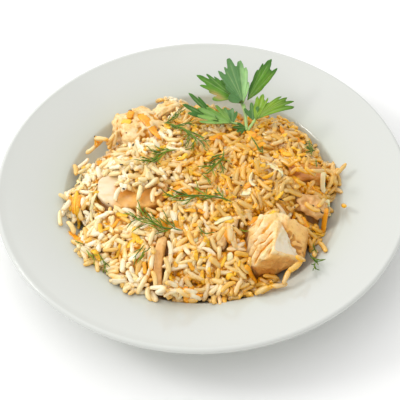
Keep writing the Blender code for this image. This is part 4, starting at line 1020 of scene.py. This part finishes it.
# form is the heap as the CAD has it, heights is what has been laid so far, and target is how high the rice
# should come: the form with lumps 9 and 4.5 mm wide and some deeper gaps
gridX, gridY = np.meshgrid(fieldAxis(), fieldAxis())
form = heapHeight(gridX, gridY)
ground = plateHeight(np.hypot(gridX, gridY))
heights = np.maximum(np.maximum(coreHeight(gridX, gridY), ground), meatTop)
target = form + 1.6 * flatNoise(gridX / 9, gridY / 9, 11) + 0.7 * flatNoise(gridX / 4.5, gridY / 4.5, 13) \
    - 6.0 * np.clip(flatNoise(gridX / 5.5, gridY / 5.5, 12) - 0.3, 0, 1)
meatNear = widen(meatTop, 6)
for x, y, radius, drop in rice["hollows"]:
    target = target - drop * np.exp(-(((gridX - x) ** 2 + (gridY - y) ** 2) / radius**2))
for x, y, radius, top in rice["laps"]:
    target = np.maximum(target, top - 2.5 * ((gridX - x) ** 2 + (gridY - y) ** 2) / radius**2)
riceRng = np.random.default_rng(rice["seed"])
carrotRng = np.random.default_rng(carrot["seed"])

atEdge = edgeGrains(heights, rice["edgeTries"], riceRng)
laidGrains = layGrains(heights, target, "lower", riceRng)
laidGrains += layGrains(heights, target, "short", riceRng)
lower = len(laidGrains)
carrotSpots = [row[:5] + row[6:] for row in carrot["laid"]]
yellow = [row[5] for row in carrot["laid"]]
free = target - 2.0 * coverMask(carrotSpots, 0.3)
onionRng = np.random.default_rng(onion["seed"])
onionAngle = np.arange(onion["count"]) * onion["goldenAngle"]
onionReach = onion["reach"] * np.sqrt((np.arange(onion["count"]) + 0.5) / onion["count"])
onionSpots = [(r * math.cos(a), r * math.sin(a), onionRng.uniform(0, 180),
               onion["length"] * onionRng.uniform(0.6, 1.2), onion["width"] * onionRng.uniform(0.6, 1.1))
              for r, a in zip(onionReach, onionAngle)]
onionSpots = [spot for spot in onionSpots if meatNear[fieldIndex(spot[0], spot[1])] < 0]
onionStrips = layStrips(heights, onionSpots, onion["thickness"], onion["rings"] + 2, onionRng, 0.12, 0.3)
laidGrains += layGrains(heights, free, "upper", riceRng)
strips = layStrips(heights, carrotSpots, carrot["thickness"], carrot["rings"] + 2, carrotRng, 0.09, 0.5)
laidGrains += patchGrains(heights, rice["onMeat"], riceRng) + patchGrains(heights, rice["stray"], riceRng, 0)
# the grains behind lie on the bed itself, not on the strip of meat
bare = np.maximum(target - 4, ground)
laidGrains += patchGrains(bare, rice["behind"], riceRng) + atEdge
more = layStrips(heights, onion["laid"], onion["thickness"], onion["rings"] + 2, onionRng, 0.12, 0.2)
onionStrips = [a + b for a, b in zip(onionStrips, more)]
print("grains laid:", lower, len(laidGrains))

# the last shreds lie between and on the top grains
moreAngle = carrotRng.uniform(-math.pi, math.pi, carrot["scattered"])
moreReach = carrot["reach"] * np.sqrt(carrotRng.uniform(0.02, 1, carrot["scattered"]))
moreSpots = [(r * math.cos(a), r * math.sin(a), carrotRng.uniform(0, 180), carrotRng.uniform(3, 8),
              carrotRng.uniform(1.6, 3.0)) for r, a in zip(moreReach, moreAngle)]
moreSpots = [spot for spot in moreSpots if meatNear[fieldIndex(spot[0], spot[1])] < 0]
more = layStrips(heights, moreSpots, carrot["thin"], carrot["rings"] + 2, carrotRng, 0.12, 0.5)
thickness = [carrot["thickness"]] * len(carrotSpots) + [carrot["thin"]] * len(moreSpots)
yellow += list(carrotRng.uniform(0, 1, len(moreSpots)) ** 0.5)
stripMesh("carrot_shreds", strips[0] + more[0], strips[1] + more[1], thickness, strips[2] + more[2],
          carrot["rings"], carrot["sides"], gratedCarrot(), {"yellow": yellow}, taper=8)
stripMesh("onion_bits", onionStrips[0], onionStrips[1], onion["thickness"], onionStrips[2],
          onion["rings"], onion["sides"], sweatedOnion(), {}, taper=8)
riceMaterial = steamedRice()
# the lid is the smoothed top of the rice, from which the grains' depth is told
lid = 0.65 * blurField(heights, (1, 3, 5, 8)) + 0.35 * form
shortest = rice["brokenBelow"] * rice["length"]
whole = [grain for grain in laidGrains if grain[5] > shortest]
broken = [grain for grain in laidGrains if grain[5] <= shortest]
for name, kind in (("rice_grains", whole), ("rice_broken", broken)):
    riceItem = grainMesh(name, kind[-rice["most"]:], riceMaterial, lid, riceRng)
    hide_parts("rice")
print("rice, carrot and onion made:", len(whole), len(broken))


def starchInBroth():
    # rice starch and broth between the grains: golden and glossy, with painted shade, browner, in the depths
    material, tree, shader = startMaterial(
        "riceStarchInBroth", IOR=1.42, Roughness=0.35, Coat_Weight=0.3, Coat_Roughness=0.15,
        Subsurface_Weight=0.5, Subsurface_Scale=0.002, Subsurface_Radius=(1.0, 0.75, 0.4))
    broth = mixColours(tree, rampBetween(tree, noiseAt(tree, 4, 3), 0.35, 0.65),
                       rice["broth"], rice["brothDeep"])
    colour = mixColours(tree, readValue(tree, "deep"), broth, rice["brothShade"])
    tree.links.new(colour, shader.inputs["Base Color"])
    tree.links.new(bumpFrom(tree, noiseAt(tree, 1.6, 3), 0.6), shader.inputs["Normal"])
    return material


def makeCore():
    # the sticky golden mass that the upper grains are half sunk in: the field smoothed and lowered,
    # the plate's form below, closed at the heap's edge
    blurred = blurField(np.minimum(heights, target + 0.5), (1, 2, 2, 3))
    turn = np.linspace(0, 2 * math.pi, rice["bedTurns"], endpoint=False)
    share = np.linspace(0, 1, rice["bedRings"])[1:, None]
    outline = riceOutline(turn) - rice["bedInset"]
    radius = share * outline
    x, y = radius * np.cos(turn), radius * np.sin(turn)
    floor = plateHeight(radius) + 0.25
    bed = blurred[fieldIndex(x, y)] - rice["bedDrop"] \
        + 0.5 * flatNoise(x / 1.8, y / 1.8, 6) + 0.6 * flatNoise(x / 5, y / 5, 8)
    bed = np.where(meatTop[fieldIndex(x, y)] > 0, bed - 3, bed)
    bed = floor + np.maximum(bed - floor, 0) * np.clip((1 - share) * 9, 0, 1) ** 0.7
    top = np.stack([x, y, bed], -1)
    lowShare = np.linspace(1, 0, 16)[1:-1, None]
    lowRadius = lowShare * outline
    low = np.stack([lowRadius * np.cos(turn), lowRadius * np.sin(turn), plateHeight(lowRadius) + 0.1], -1)
    rings = np.concatenate([low[::-1], top[::-1]])
    peak = blurred[fieldIndex(np.array(0.0), np.array(0.0))] - rice["bedDrop"]
    points = np.concatenate([[(0, 0, plate["floorZ"] + 0.1)], rings.reshape(-1, 3), [(0, 0, float(peak))]])
    # deep runs from 0 at 2 mm below the heap's form to 1 at 6 mm and paints the bed's shade there
    deep = np.clip((form[fieldIndex(points[:, 0], points[:, 1])] + 1 - points[:, 2] - 3) / 4, 0, 1)
    item = putMesh("rice_bed", points, tubeFaces(len(rings), len(turn)), starchInBroth(), {"deep": deep})
    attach(item, "root")


makeCore()
print("rice bed made")


dill = {
    "stem": 0.95, "branch": 0.65, "thread": 0.5, "steps": 11, "sides": 5, "branches": 7, "twigs": 3,
    "scrapSeed": 77, "dark": "#3A600C", "light": "#86A022",
    # start, end, sideways bow of the stem, reach of its branches, seed
    "fronds": {
        "dill_back": ((-23, 43), (-3, 21), 3, 11, 11),
        "dill_left": ((-14, 17), (-31, 3), -5, 8, 12),
        "dill_centre": ((13, 17), (3, 0), 3, 8, 13),
        "dill_middle": ((17, -27), (-20, -21), -3, 9, 14),
        "dill_front": ((-11, -43), (-35, -28), 3, 10, 15),
    },
    # torn bits: x, y, azimuth, length, number of side threads
    "scraps": ((-66, -47, -56, 9, 3), (-59, -50, -48, 11, 4), (-33, -51, -120, 10, 2), (-37, -62, 60, 8, 3),
               (0, -4, -55, 9, 1), (29.5, 28, -66, 15, 1), (36, 20, -95, 8, 0), (66, 33, -100, 10, 7),
               (69, 25, -140, 8, 5), (20, -41.5, -12, 5, 0), (-3, -41, -65, 9, 2), (61.5, -41, -88, 11, 1),
               (58, -52, -60, 9, 6), (61, -58, -110, 8, 4), (-22, 41, 50, 12, 8), (67.5, 13, -97, 9, 0),
               (-73, -38, -55, 8, 2)),
}

pepper = {
    "count": 46, "reach": 76, "thickness": 0.6, "rings": 5, "sides": 6, "seed": 51,
    "dark": "#1E1612", "brown": "#7A4A22",
    # bits that show: x, y, azimuth, length, width
    "laid": ((-40.5, 22.7, 60, 1.9, 1.1), (-46.4, 1.1, -48, 3.6, 0.8), (-44.9, -13.7, 20, 1.5, 0.9),
             (-44, -44, 0, 1.2, 0.8), (67.4, -26.3, -20, 2.6, 0.8), (61.2, 12, 30, 1.8, 0.8),
             (44, -23.2, -15, 3.2, 0.8), (16.5, -5.3, 0, 1.4, 0.9), (29.3, -2.6, 70, 1.2, 0.8),
             (48, -5, 0, 1.2, 0.7), (-43, 52, -20, 2.4, 1.6), (-64, 33, 0, 1.3, 1.1), (9, -1, 30, 1.1, 0.8),
             (-13, -20, 60, 1.6, 0.9), (22, -12, 0, 1.2, 0.8), (64, 26, 90, 2, 0.6), (36.4, -66.5, 0, 1.5, 1.2),
             (-61, -5, 0, 1, 0.8)),
}


def crushedPepper():
    # crushed black pepper and cumin: nearly black husk, brown where it broke
    material, tree, shader = startMaterial("crushedPepperHusk", Roughness=0.6)
    colour = mixColours(tree, readValue(tree, "tint"), pepper["dark"], pepper["brown"])
    tree.links.new(colour, shader.inputs["Base Color"])
    return material


def makePepper(roof):
    # specks lie on whatever is under them
    rng = np.random.default_rng(pepper["seed"])
    spots = list(pepper["laid"])
    tint = [0.1] * len(spots) + list(rng.uniform(0.3, 1, pepper["count"]))
    angle = rng.uniform(-math.pi, math.pi, pepper["count"])
    reach = pepper["reach"] * np.sqrt(rng.uniform(0, 1, pepper["count"]))
    spots += [(r * math.cos(a), r * math.sin(a), rng.uniform(0, 180), rng.uniform(0.7, 1.5),
               rng.uniform(0.5, 0.9)) for r, a in zip(reach, angle)]
    paths, widths, twists = layStrips(roof.copy(), spots, pepper["thickness"], pepper["rings"] + 2, rng, 0.1, 0.1)
    stripMesh("pepper_specks", paths, widths, pepper["thickness"], twists, pepper["rings"], pepper["sides"],
              crushedPepper(), {"tint": tint})


def layThread(roof, x, y, heading, length, sweep, rise, lift):
    # a thread that turns by sweep along its length, lies on the roof and lifts towards its end
    share = np.linspace(0, 1, dill["steps"])
    way = heading + sweep * share
    px = x + length * np.concatenate([[0], np.cumsum(np.cos(way[:-1]))]) / (len(share) - 1)
    py = y + length * np.concatenate([[0], np.cumsum(np.sin(way[:-1]))]) / (len(share) - 1)
    z = smoothLine(roof[fieldIndex(px, py)], 3)
    return np.stack([px, py, z + lift + rise * share**2], -1)


def sproutThreads(roof, stem, heading, sweep, reach, count, twigs, rng):
    # branches left and right of a stem in turn, each with fine threads left and right in turn
    paths, widths = [stem], [dill["stem"]]
    for k in range(count):
        u = 0.1 + 0.9 * (k + 0.5) / count
        root = alongPath(stem, u)
        side = 1 if k % 2 else -1
        local = heading + sweep * u + side * math.radians(rng.uniform(16, 52))
        length = reach * (0.6 + 0.4 * math.sin(math.pi * u)) * rng.uniform(0.7, 1.2)
        lift = root[2] - roof[fieldIndex(root[0], root[1])]
        branch = layThread(roof, root[0], root[1], local, length, -side * rng.uniform(0.1, 0.6),
                           rng.uniform(0, 2.2), lift)
        paths.append(branch)
        widths.append(dill["branch"] if twigs else dill["thread"])
        for j in range(twigs):
            v = 0.1 + 0.6 * j / max(twigs - 1, 1)
            knot = alongPath(branch, v)
            turn = local - side * 0.3 * v + (1 if j % 2 else -1) * math.radians(rng.uniform(12, 34))
            lift = knot[2] - roof[fieldIndex(knot[0], knot[1])]
            paths.append(layThread(roof, knot[0], knot[1], turn, length * rng.uniform(0.45, 0.85),
                                   rng.normal(0, 0.4), rng.uniform(-0.2, 1.8), lift))
            widths.append(dill["thread"])
    return paths, widths


def freshDill():
    # chopped fresh dill: waxy blue-green threads, lighter and yellower where they are young
    material, tree, shader = startMaterial(
        "freshDillThreads", IOR=1.4, Roughness=0.42,
        Subsurface_Weight=0.2, Subsurface_Scale=0.0006, Subsurface_Radius=(0.4, 1.0, 0.2))
    colour = mixColours(tree, readValue(tree, "tint"), dill["dark"], dill["light"])
    tree.links.new(colour, shader.inputs["Base Color"])
    return material


def makeDill(roof):
    # each frond is one mesh: its stem starts off its line by an angle whose tangent is 4 * bow / length and
    # turns back by twice that; the torn bits are one more mesh
    material = freshDill()
    for name, (start, end, bow, reach, seed) in dill["fronds"].items():
        rng = np.random.default_rng(seed)
        ahead = np.subtract(end, start)
        length = float(np.hypot(*ahead))
        lean = math.atan(4 * bow / length)
        heading = math.atan2(ahead[1], ahead[0]) + lean
        stem = layThread(roof, *start, heading, length, -2 * lean, 0, 0.5)
        paths, widths = sproutThreads(roof, stem, heading, -2 * lean, reach * 1.15,
                                      dill["branches"], dill["twigs"], rng)
        tint = rng.beta(1.5, 2.2, len(paths))
        frond = stripMesh(name.replace("dill", "frond"), paths, widths, widths, np.zeros(len(paths)),
                          dill["steps"] - 2, dill["sides"], material, {"tint": tint})
        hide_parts(name)
    rng = np.random.default_rng(dill["scrapSeed"])
    paths, widths = [], []
    for x, y, azimuth, length, count in dill["scraps"]:
        heading, sweep = math.radians(azimuth), rng.normal(0, 0.4)
        stem = layThread(roof, x, y, heading, length, sweep, rng.uniform(0, 1.5), 0.4)
        more, wide = sproutThreads(roof, stem, heading, sweep, length * 0.6, count, 0, rng)
        paths += more
        widths += [dill["branch"]] + wide[1:]
    stripMesh("dill_scraps", paths, widths, widths, np.zeros(len(paths)), dill["steps"] - 2, dill["sides"],
              material, {"tint": rng.beta(1.5, 2.2, len(paths))})


parsley = {
    "thickness": 0.36, "rows": 15, "columns": 96, "sides": 8, "notchDepth": 0.03, "notchRate": 47,
    # dark, fresh and the yellow-green after them run from painted shade to painted light on the upper side
    "dark": "#3A6A1E", "fresh": "#5C921C", "litGreen": "#88AA1E", "under": "#527F42", "underPale": "#98C27A",
    "rib": "#B9D08A", "dry": "#B89A5A", "stalk": "#8DB65E", "stalkPale": "#BBD58C",
    # width and thickness of each stalk, then its path
    "stalkWidths": (1.9, 1.7, 1.5, 1.6), "stalkThickness": (1.7, 1.6, 1.4, 1.5),
    "stalks": (
        ((27.4, 33, 35), (27.4, 37, 37.5), (27, 45, 39.5), (26.6, 51, 42)),
        ((27.4, 34, 35), (27.6, 38, 38), (27, 46, 40), (24.5, 55, 41)),
        ((27.0, 34, 35), (25, 36, 37.5), (21, 37, 38.5), (17, 37.5, 39)),
        ((28.4, 33, 35), (29.4, 34.5, 37), (31.5, 36.5, 39), (33.4, 39, 40.2)),
    ),
    # facing is the way that the upper side looks, fold the slopes on both sides of a fold at foldAt degrees,
    # shade the lightness on both sides as painted light and shade, under the share of the duller lower side that
    # shows
    # lobes: angle from the leaflet's own line, share of its length, half width of the lobe in degrees
    "leaflets": {
        "left": {
            "base": (21.4, 56.3, 41), "tip": (-0.3, 71.8, 45), "facing": (-0.2, -0.5, 0.85), "fold": (0.3, 0.1),
            "foldAt": 3, "curl": 0.1, "ruffle": 0.8, "shade": (0.5, 0.2), "under": 0, "seed": 1,
            "dry": (10, -4.5),
            "lobes": ((0, 1, 7), (11, 0.83, 6), (-9, 0.86, 5), (-15, 0.69, 6), (-21, 0.54, 9), (17, 0.6, 9),
                      (34, 0.5, 16), (-30, 0.3, 16), (0, 0.76, 20)),
        },
        "right": {
            "base": (28.9, 54, 41), "tip": (43.6, 79.9, 49), "facing": (0.3, -0.5, 0.8), "fold": (0.45, 0.1),
            "foldAt": 5, "curl": 0.06, "ruffle": 0.7, "shade": (0.15, 0.6), "under": 0, "seed": 2,
            "tipShade": 1,
            "lobes": ((0, 1, 8), (-12, 0.92, 6), (6, 0.84, 6), (11, 0.66, 6), (-15, 0.72, 6), (-18, 0.48, 8),
                      (14, 0.4, 9), (-5, 0.82, 14)),
        },
        "centre": {
            "base": (26.2, 49.5, 43), "tip": (18.1, 79.3, 54), "facing": (0.05, -0.78, 0.62),
            "fold": (0.1, 0.55), "foldAt": -12, "curl": -0.1, "ruffle": 1.0, "shade": (0.1, 0.8), "under": 1,
            "seed": 3,
            "lobes": ((0, 1, 8), (-12, 0.89, 9), (8, 0.86, 4), (17, 0.83, 7), (-20, 0.71, 9), (-29, 0.42, 12),
                      (21, 0.5, 18), (48, 0.3, 28), (0, 0.8, 24)),
        },
        "low": {
            "base": (11, 37.5, 39.5), "tip": (-5.9, 55.2, 46), "facing": (0, -0.6, 0.8), "fold": (0.25, 0.2),
            "foldAt": 0, "curl": 0.12, "ruffle": 0.7, "shade": (0.05, 0.15), "under": 0, "seed": 4,
            "lobes": ((0, 1, 6), (-6, 0.78, 5), (19, 0.92, 7), (30, 0.74, 7), (-3, 0.66, 11), (21, 0.7, 15)),
        },
        "lowFront": {
            "base": (18.5, 36.5, 39), "tip": (-0.7, 45.4, 43), "facing": (-0.1, -0.6, 0.8), "fold": (0.7, 0.35),
            "foldAt": 8, "curl": 0.15, "ruffle": 1.6, "shade": (1.0, 0.75), "under": 0.55, "seed": 5,
            "lobes": ((0, 1, 8), (24, 0.85, 6), (-8, 0.8, 8), (12, 0.94, 8), (-24, 0.62, 9), (4, 0.8, 24),
                      (-30, 0.45, 14)),
        },
        "lowSmall": {
            "base": (19, 36.3, 38.5), "tip": (14.6, 45.6, 43.5), "facing": (0.2, -0.8, 0.56),
            "fold": (0.2, 0.2), "foldAt": 0, "curl": 0.0, "ruffle": 0.5, "shade": (0.45, 0.3), "under": 0.8,
            "seed": 6,
            "lobes": ((0, 1, 12), (-24, 0.85, 12), (18, 0.9, 9), (-44, 0.7, 14), (-12, 0.8, 34)),
        },
        "far": {
            "base": (32.9, 38, 40), "tip": (54.6, 49.5, 43), "facing": (0.1, -0.6, 0.8), "fold": (0.15, 0.3),
            "foldAt": 3, "curl": 0.04, "ruffle": 0.6, "shade": (0.8, 0.7), "under": 0, "seed": 7, "swerve": -9,
            "tipShade": 0.6,
            "lobes": ((0, 1, 7), (8, 1.04, 5), (15, 0.95, 5), (21, 0.85, 5), (11, 0.88, 15), (24, 0.55, 12)),
        },
        "farUp": {
            "base": (32.9, 37.1, 40), "tip": (38, 52.5, 45.5), "facing": (-0.1, -0.75, 0.66),
            "fold": (0.3, 0.3), "foldAt": 0, "curl": 0.1, "ruffle": 0.5, "shade": (0.85, 0.8), "under": 0,
            "seed": 8,
            "lobes": ((0, 1, 10), (-13, 0.93, 5), (11, 0.87, 9), (15, 0.63, 12), (-2, 0.84, 20)),
        },
        "foot": {
            "base": (27, 35, 36.5), "tip": (19, 33.6, 38.6), "facing": (-0.1, -0.7, 0.7), "fold": (0.2, 0.2),
            "foldAt": 0, "curl": 0.1, "ruffle": 0.5, "shade": (0.1, 0.1), "under": 0.2, "seed": 9,
            "lobes": ((0, 1, 12), (25, 0.8, 12), (-25, 0.75, 14), (48, 0.6, 14), (8, 0.62, 40)),
        },
        "footRight": {
            "base": (31.5, 39, 38.6), "tip": (31.2, 48.5, 43.5), "facing": (-0.2, -0.8, 0.6),
            "fold": (0.2, 0.2), "foldAt": 0, "curl": 0.1, "ruffle": 0.4, "shade": (0.15, 0.25), "under": 0.6,
            "seed": 10,
            "lobes": ((0, 1, 14), (30, 0.8, 14), (-28, 0.8, 14), (0, 0.65, 40)),
        },
    },
}


def sheetFaces(rows, columns):
    # faces of a closed double sheet: upper side, lower side, and the strip along each of the four borders
    upper, lower = np.arange(2 * rows * columns).reshape(2, rows, columns)
    parts = [np.stack([upper[:-1, :-1], upper[1:, :-1], upper[1:, 1:], upper[:-1, 1:]], -1).reshape(-1, 4),
             np.stack([lower[:-1, :-1], lower[:-1, 1:], lower[1:, 1:], lower[1:, :-1]], -1).reshape(-1, 4)]
    borders = ((upper[-1, ::-1], lower[-1, ::-1]), (upper[0], lower[0]),
               (upper[::-1, 0], lower[::-1, 0]), (upper[:, -1], lower[:, -1]))
    for above, below in borders:
        parts.append(np.stack([above[:-1], above[1:], below[1:], below[:-1]], -1))
    return np.concatenate(parts)


def leafSheet(values):
    # a leaflet in polar form about its base: at each angle its reach is the longest of its elliptic lobes
    # R * sqrt(1 - ((angle - a) / w)^2), finely notched; then folded, keeled along each lobe, curled and ruffled
    base, tip = np.array(values["base"], float), np.array(values["tip"], float)
    length = np.linalg.norm(tip - base)
    along = (tip - base) / length
    normal = np.array(values["facing"], float)
    normal -= along * (normal @ along)
    normal /= np.linalg.norm(normal)
    across = np.cross(normal, along)
    lobes = np.array(values["lobes"], float)
    centre, share, half = np.radians(lobes[:, :1]), lobes[:, 1:2], np.radians(lobes[:, 2:])
    angle = np.linspace((centre - half).min(), (centre + half).max(), parsley["columns"])
    part = (angle - centre) / half
    notch = 1 + parsley["notchDepth"] * np.abs(np.sin(angle * parsley["notchRate"] + values["seed"]))
    reach = share * np.sqrt(np.clip(1 - part**2, 0.0004, 1)) * notch
    best = reach.argmax(0)
    part = np.abs(np.take_along_axis(part, best[None], 0)[0])
    row = np.linspace(0.03, 1, parsley["rows"])[:, None]
    radius = row * reach.max(0) * length
    way = angle + math.radians(values.get("swerve", 0)) * (radius / length) ** 2
    a, b = radius * np.cos(way), radius * np.sin(way)
    away = radius * np.sin(angle - math.radians(values["foldAt"]))
    lift = values["fold"][0] * np.maximum(away, 0) + values["fold"][1] * np.maximum(-away, 0)
    lift = lift + values["curl"] * radius**2 / length
    lift = lift + values["ruffle"] * row**2 * np.sin(angle * 7 + values["seed"])
    lift = lift + 0.02 * length * np.sqrt(row) * (part - 0.5)
    lift = lift + 0.7 * flatNoise(a / 6, b / 6, values["seed"] + 60) * row
    middle = base + along * a[..., None] + across * b[..., None] + normal * lift[..., None]
    dr, dt = np.gradient(middle, axis=0), np.gradient(middle, axis=1)
    out = np.cross(dr, dt)
    out /= np.maximum(np.linalg.norm(out, axis=-1, keepdims=True), 1e-9)
    thick = parsley["thickness"] / 2 * (1 - 0.5 * row**6)[..., None]
    points = np.concatenate([(middle + out * thick).reshape(-1, 3), (middle - out * thick).reshape(-1, 3)])
    # painted light and shade: each side of the fold gets its own lightness
    side = 0.5 - 0.5 * np.tanh((angle - math.radians(values["foldAt"])) / 0.12)
    shade = values["shade"][0] * (1 - side) + values["shade"][1] * side
    offset = radius[None] * np.sin(angle - centre)[:, None]
    inside = 1 / (1 + np.exp((radius[None] - 0.85 * share[:, None] * length) / 0.6))
    rib = (np.exp(-((offset / 0.3) ** 2)) * inside)[share[:, 0] > 0.83].max(0)
    dry = np.zeros_like(a)
    if "dry" in values:
        dry = np.exp(-(((a - values["dry"][0]) / 5) ** 2 + ((b + values["dry"][1]) / 1.8) ** 2))
    marks = {"shade": shade + 0 * row, "rib": rib, "edge": row + 0 * angle, "under": values["under"] + 0 * a,
             "dry": dry,
             "far": values.get("tipShade", 0) * np.clip((radius / length - 0.62) / 0.25, 0, 1)}
    marks = {key: np.tile(np.broadcast_to(array, a.shape).ravel(), 2) for key, array in marks.items()}
    return points, sheetFaces(*a.shape), marks


def freshParsley():
    # fresh flat parsley: satin green with paler veins, duller grey-green below, some light coming
    # through the blade
    material, tree, shader = startMaterial(
        "freshParsleyLeaf", IOR=1.42, Roughness=0.38,
        Subsurface_Weight=0.25, Subsurface_Scale=0.0008, Subsurface_Radius=(0.5, 1.0, 0.2))
    # the shade mark paints light and shade: darker green where the blade is in shade, yellow-green where light
    # falls on it
    shade = calculate(tree, "MULTIPLY_ADD", noiseAt(tree, 5, 3), 0.5,
                      calculate(tree, "SUBTRACT", readValue(tree, "shade"), 0.25))
    upper = mixColours(tree, rampBetween(tree, shade, 0.0, 0.5), parsley["dark"], parsley["fresh"])
    upper = mixColours(tree, rampBetween(tree, shade, 0.45, 1.0), upper, parsley["litGreen"])
    lower = mixColours(tree, rampBetween(tree, shade, 0.2, 0.9), parsley["under"], parsley["underPale"])
    face = mixColours(tree, readValue(tree, "under"), upper, lower)
    border = calculate(tree, "MULTIPLY", rampBetween(tree, readValue(tree, "edge"), 0.8, 1.0), 0.35)
    rim = mixColours(tree, border, face, parsley["dark"])
    rim = mixColours(tree, calculate(tree, "MULTIPLY", readValue(tree, "far"), 0.7), rim, parsley["dark"])
    rim = mixColours(tree, readValue(tree, "dry"), rim, parsley["dry"])
    veined = mixColours(tree, calculate(tree, "MULTIPLY", readValue(tree, "rib"), 0.28), rim, parsley["rib"])
    tree.links.new(veined, shader.inputs["Base Color"])
    tree.links.new(bumpFrom(tree, noiseAt(tree, 1.3, 3), 0.2), shader.inputs["Normal"])
    return material


def parsleyStalk():
    # pale juicy stalk, lengthwise streaked
    material, tree, shader = startMaterial(
        "freshParsleyStalk", IOR=1.4, Roughness=0.35,
        Subsurface_Weight=0.3, Subsurface_Scale=0.001, Subsurface_Radius=(0.5, 1.0, 0.2))
    colour = mixColours(tree, noiseAt(tree, 1.2, 2, 0.5, (1, 5, 5)), parsley["stalk"], parsley["stalkPale"])
    tree.links.new(colour, shader.inputs["Base Color"])
    return material


def makeParsley():
    # all leaflets as one mesh of closed sheets, and the stalks as tubes along their smoothed paths
    points, faces, marks, start = [], [], [], 0
    for values in parsley["leaflets"].values():
        sheet, quads, shades = leafSheet(values)
        points.append(sheet)
        faces.append(quads + start)
        marks.append(shades)
        start += len(sheet)
    marks = {key: np.concatenate([m[key] for m in marks]) for key in marks[0]}
    leaves = putMesh("parsley_leaves", np.concatenate(points), [np.concatenate(faces)], freshParsley(), marks)
    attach(leaves, "root")
    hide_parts("parsley")
    share = np.linspace(0, 1, 11)
    paths = [smoothLine(alongPath(np.array(stalk, float), share), 3) for stalk in parsley["stalks"]]
    stalks = stripMesh("parsley_stalks", paths, parsley["stalkWidths"], parsley["stalkThickness"],
                       np.zeros(len(paths)), len(share) - 2, parsley["sides"], parsleyStalk(), {},
                       taper=9)
    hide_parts("parsley")


# the dill rests on a smoothed roof over the grains
roof = blurField(widen(heights, 2), (2, 2, 2, 2))
makePepper(heights)
makeDill(roof)
makeParsley()
print("herbs made")


# focal is in pixels of a frame that is so many pixels wide; sensor is in millimetres
view = {"target": (-1.73, -17.79, 32), "distance": 600, "elevation": 48.8, "roll": -1.66,
        "focal": 1050.6, "frame": 400, "sensor": 36}
# each light's place and aim in metres, diameter or width in metres, power in watts, and the window gap's height
lights = {
    "window": ((-1.0, 1.55, 1.75), (0, 0, 0), 3.8, 22.4),
    "ceiling": ((-0.2, -0.5, 2.0), (0, 0, 0), 3.4, 13.8),
    "window_gap": ((-1.17, 0.14, 0.92), (0, 0, 0.03), 0.46, 6.5, 0.28),
}
stage = {"size": 6, "table": "#F1F1F0", "tableShade": "#ECECEA", "daylight": 0.76}


def makeCamera():
    # looks down along the measured elevation; roll turns the frame about the line of sight
    angle, roll = math.radians(view["elevation"]), math.radians(view["roll"])
    forward = Vector((0, math.cos(angle), -math.sin(angle)))
    right = Vector((1, 0, 0))
    up = right.cross(forward)
    turnedRight = right * math.cos(roll) + up * math.sin(roll)
    turnedUp = up * math.cos(roll) - right * math.sin(roll)
    data = bpy.data.cameras.new("camera")
    data.sensor_width = view["sensor"]
    data.lens = view["focal"] / view["frame"] * view["sensor"]
    data.clip_end = 20
    item = bpy.data.objects.new("camera", data)
    bpy.context.scene.collection.objects.link(item)
    place = Vector(view["target"]) * mm - forward * view["distance"] * mm
    turned = Matrix((turnedRight, turnedUp, -forward)).transposed()
    item.matrix_world = Matrix.Translation(place) @ turned.to_4x4()
    bpy.context.scene.camera = item


def areaLight(name, place, aim, size, power, height=0.0):
    # a round white light of the given diameter, or with a height a window-like rectangle
    data = bpy.data.lights.new(name, "AREA")
    data.shape = "RECTANGLE" if height else "DISK"
    data.size = size
    if height:
        data.size_y = height
    data.energy = power
    item = bpy.data.objects.new(name, data)
    bpy.context.scene.collection.objects.link(item)
    item.location = place
    item.rotation_euler = (Vector(aim) - Vector(place)).to_track_quat("-Z", "Y").to_euler()


def makeStage():
    # matt white table top, a large soft window light from the back left, light from the ceiling,
    # and a small bright gap of the window that draws the highlights
    bpy.ops.mesh.primitive_plane_add(size=stage["size"], location=(0, 0, 0))
    floor = bpy.context.object
    floor.name = "table_top"
    material, tree, shader = startMaterial("mattWhiteTable", Roughness=0.7)
    cloud = calculate(tree, "MULTIPLY", noiseAt(tree, 90, 2), 0.3)
    tree.links.new(mixColours(tree, cloud, stage["table"], stage["tableShade"]), shader.inputs["Base Color"])
    floor.data.materials.append(material)
    for name, values in lights.items():
        areaLight(name, *values)
    world = bpy.context.scene.world or bpy.data.worlds.new("room")
    bpy.context.scene.world = world
    world.use_nodes = True
    background = world.node_tree.nodes["Background"]
    background.inputs["Color"].default_value = (1, 1, 1, 1)
    background.inputs["Strength"].default_value = stage["daylight"]


makeCamera()
makeStage()
bpy.context.scene.view_settings.view_transform = "Standard"
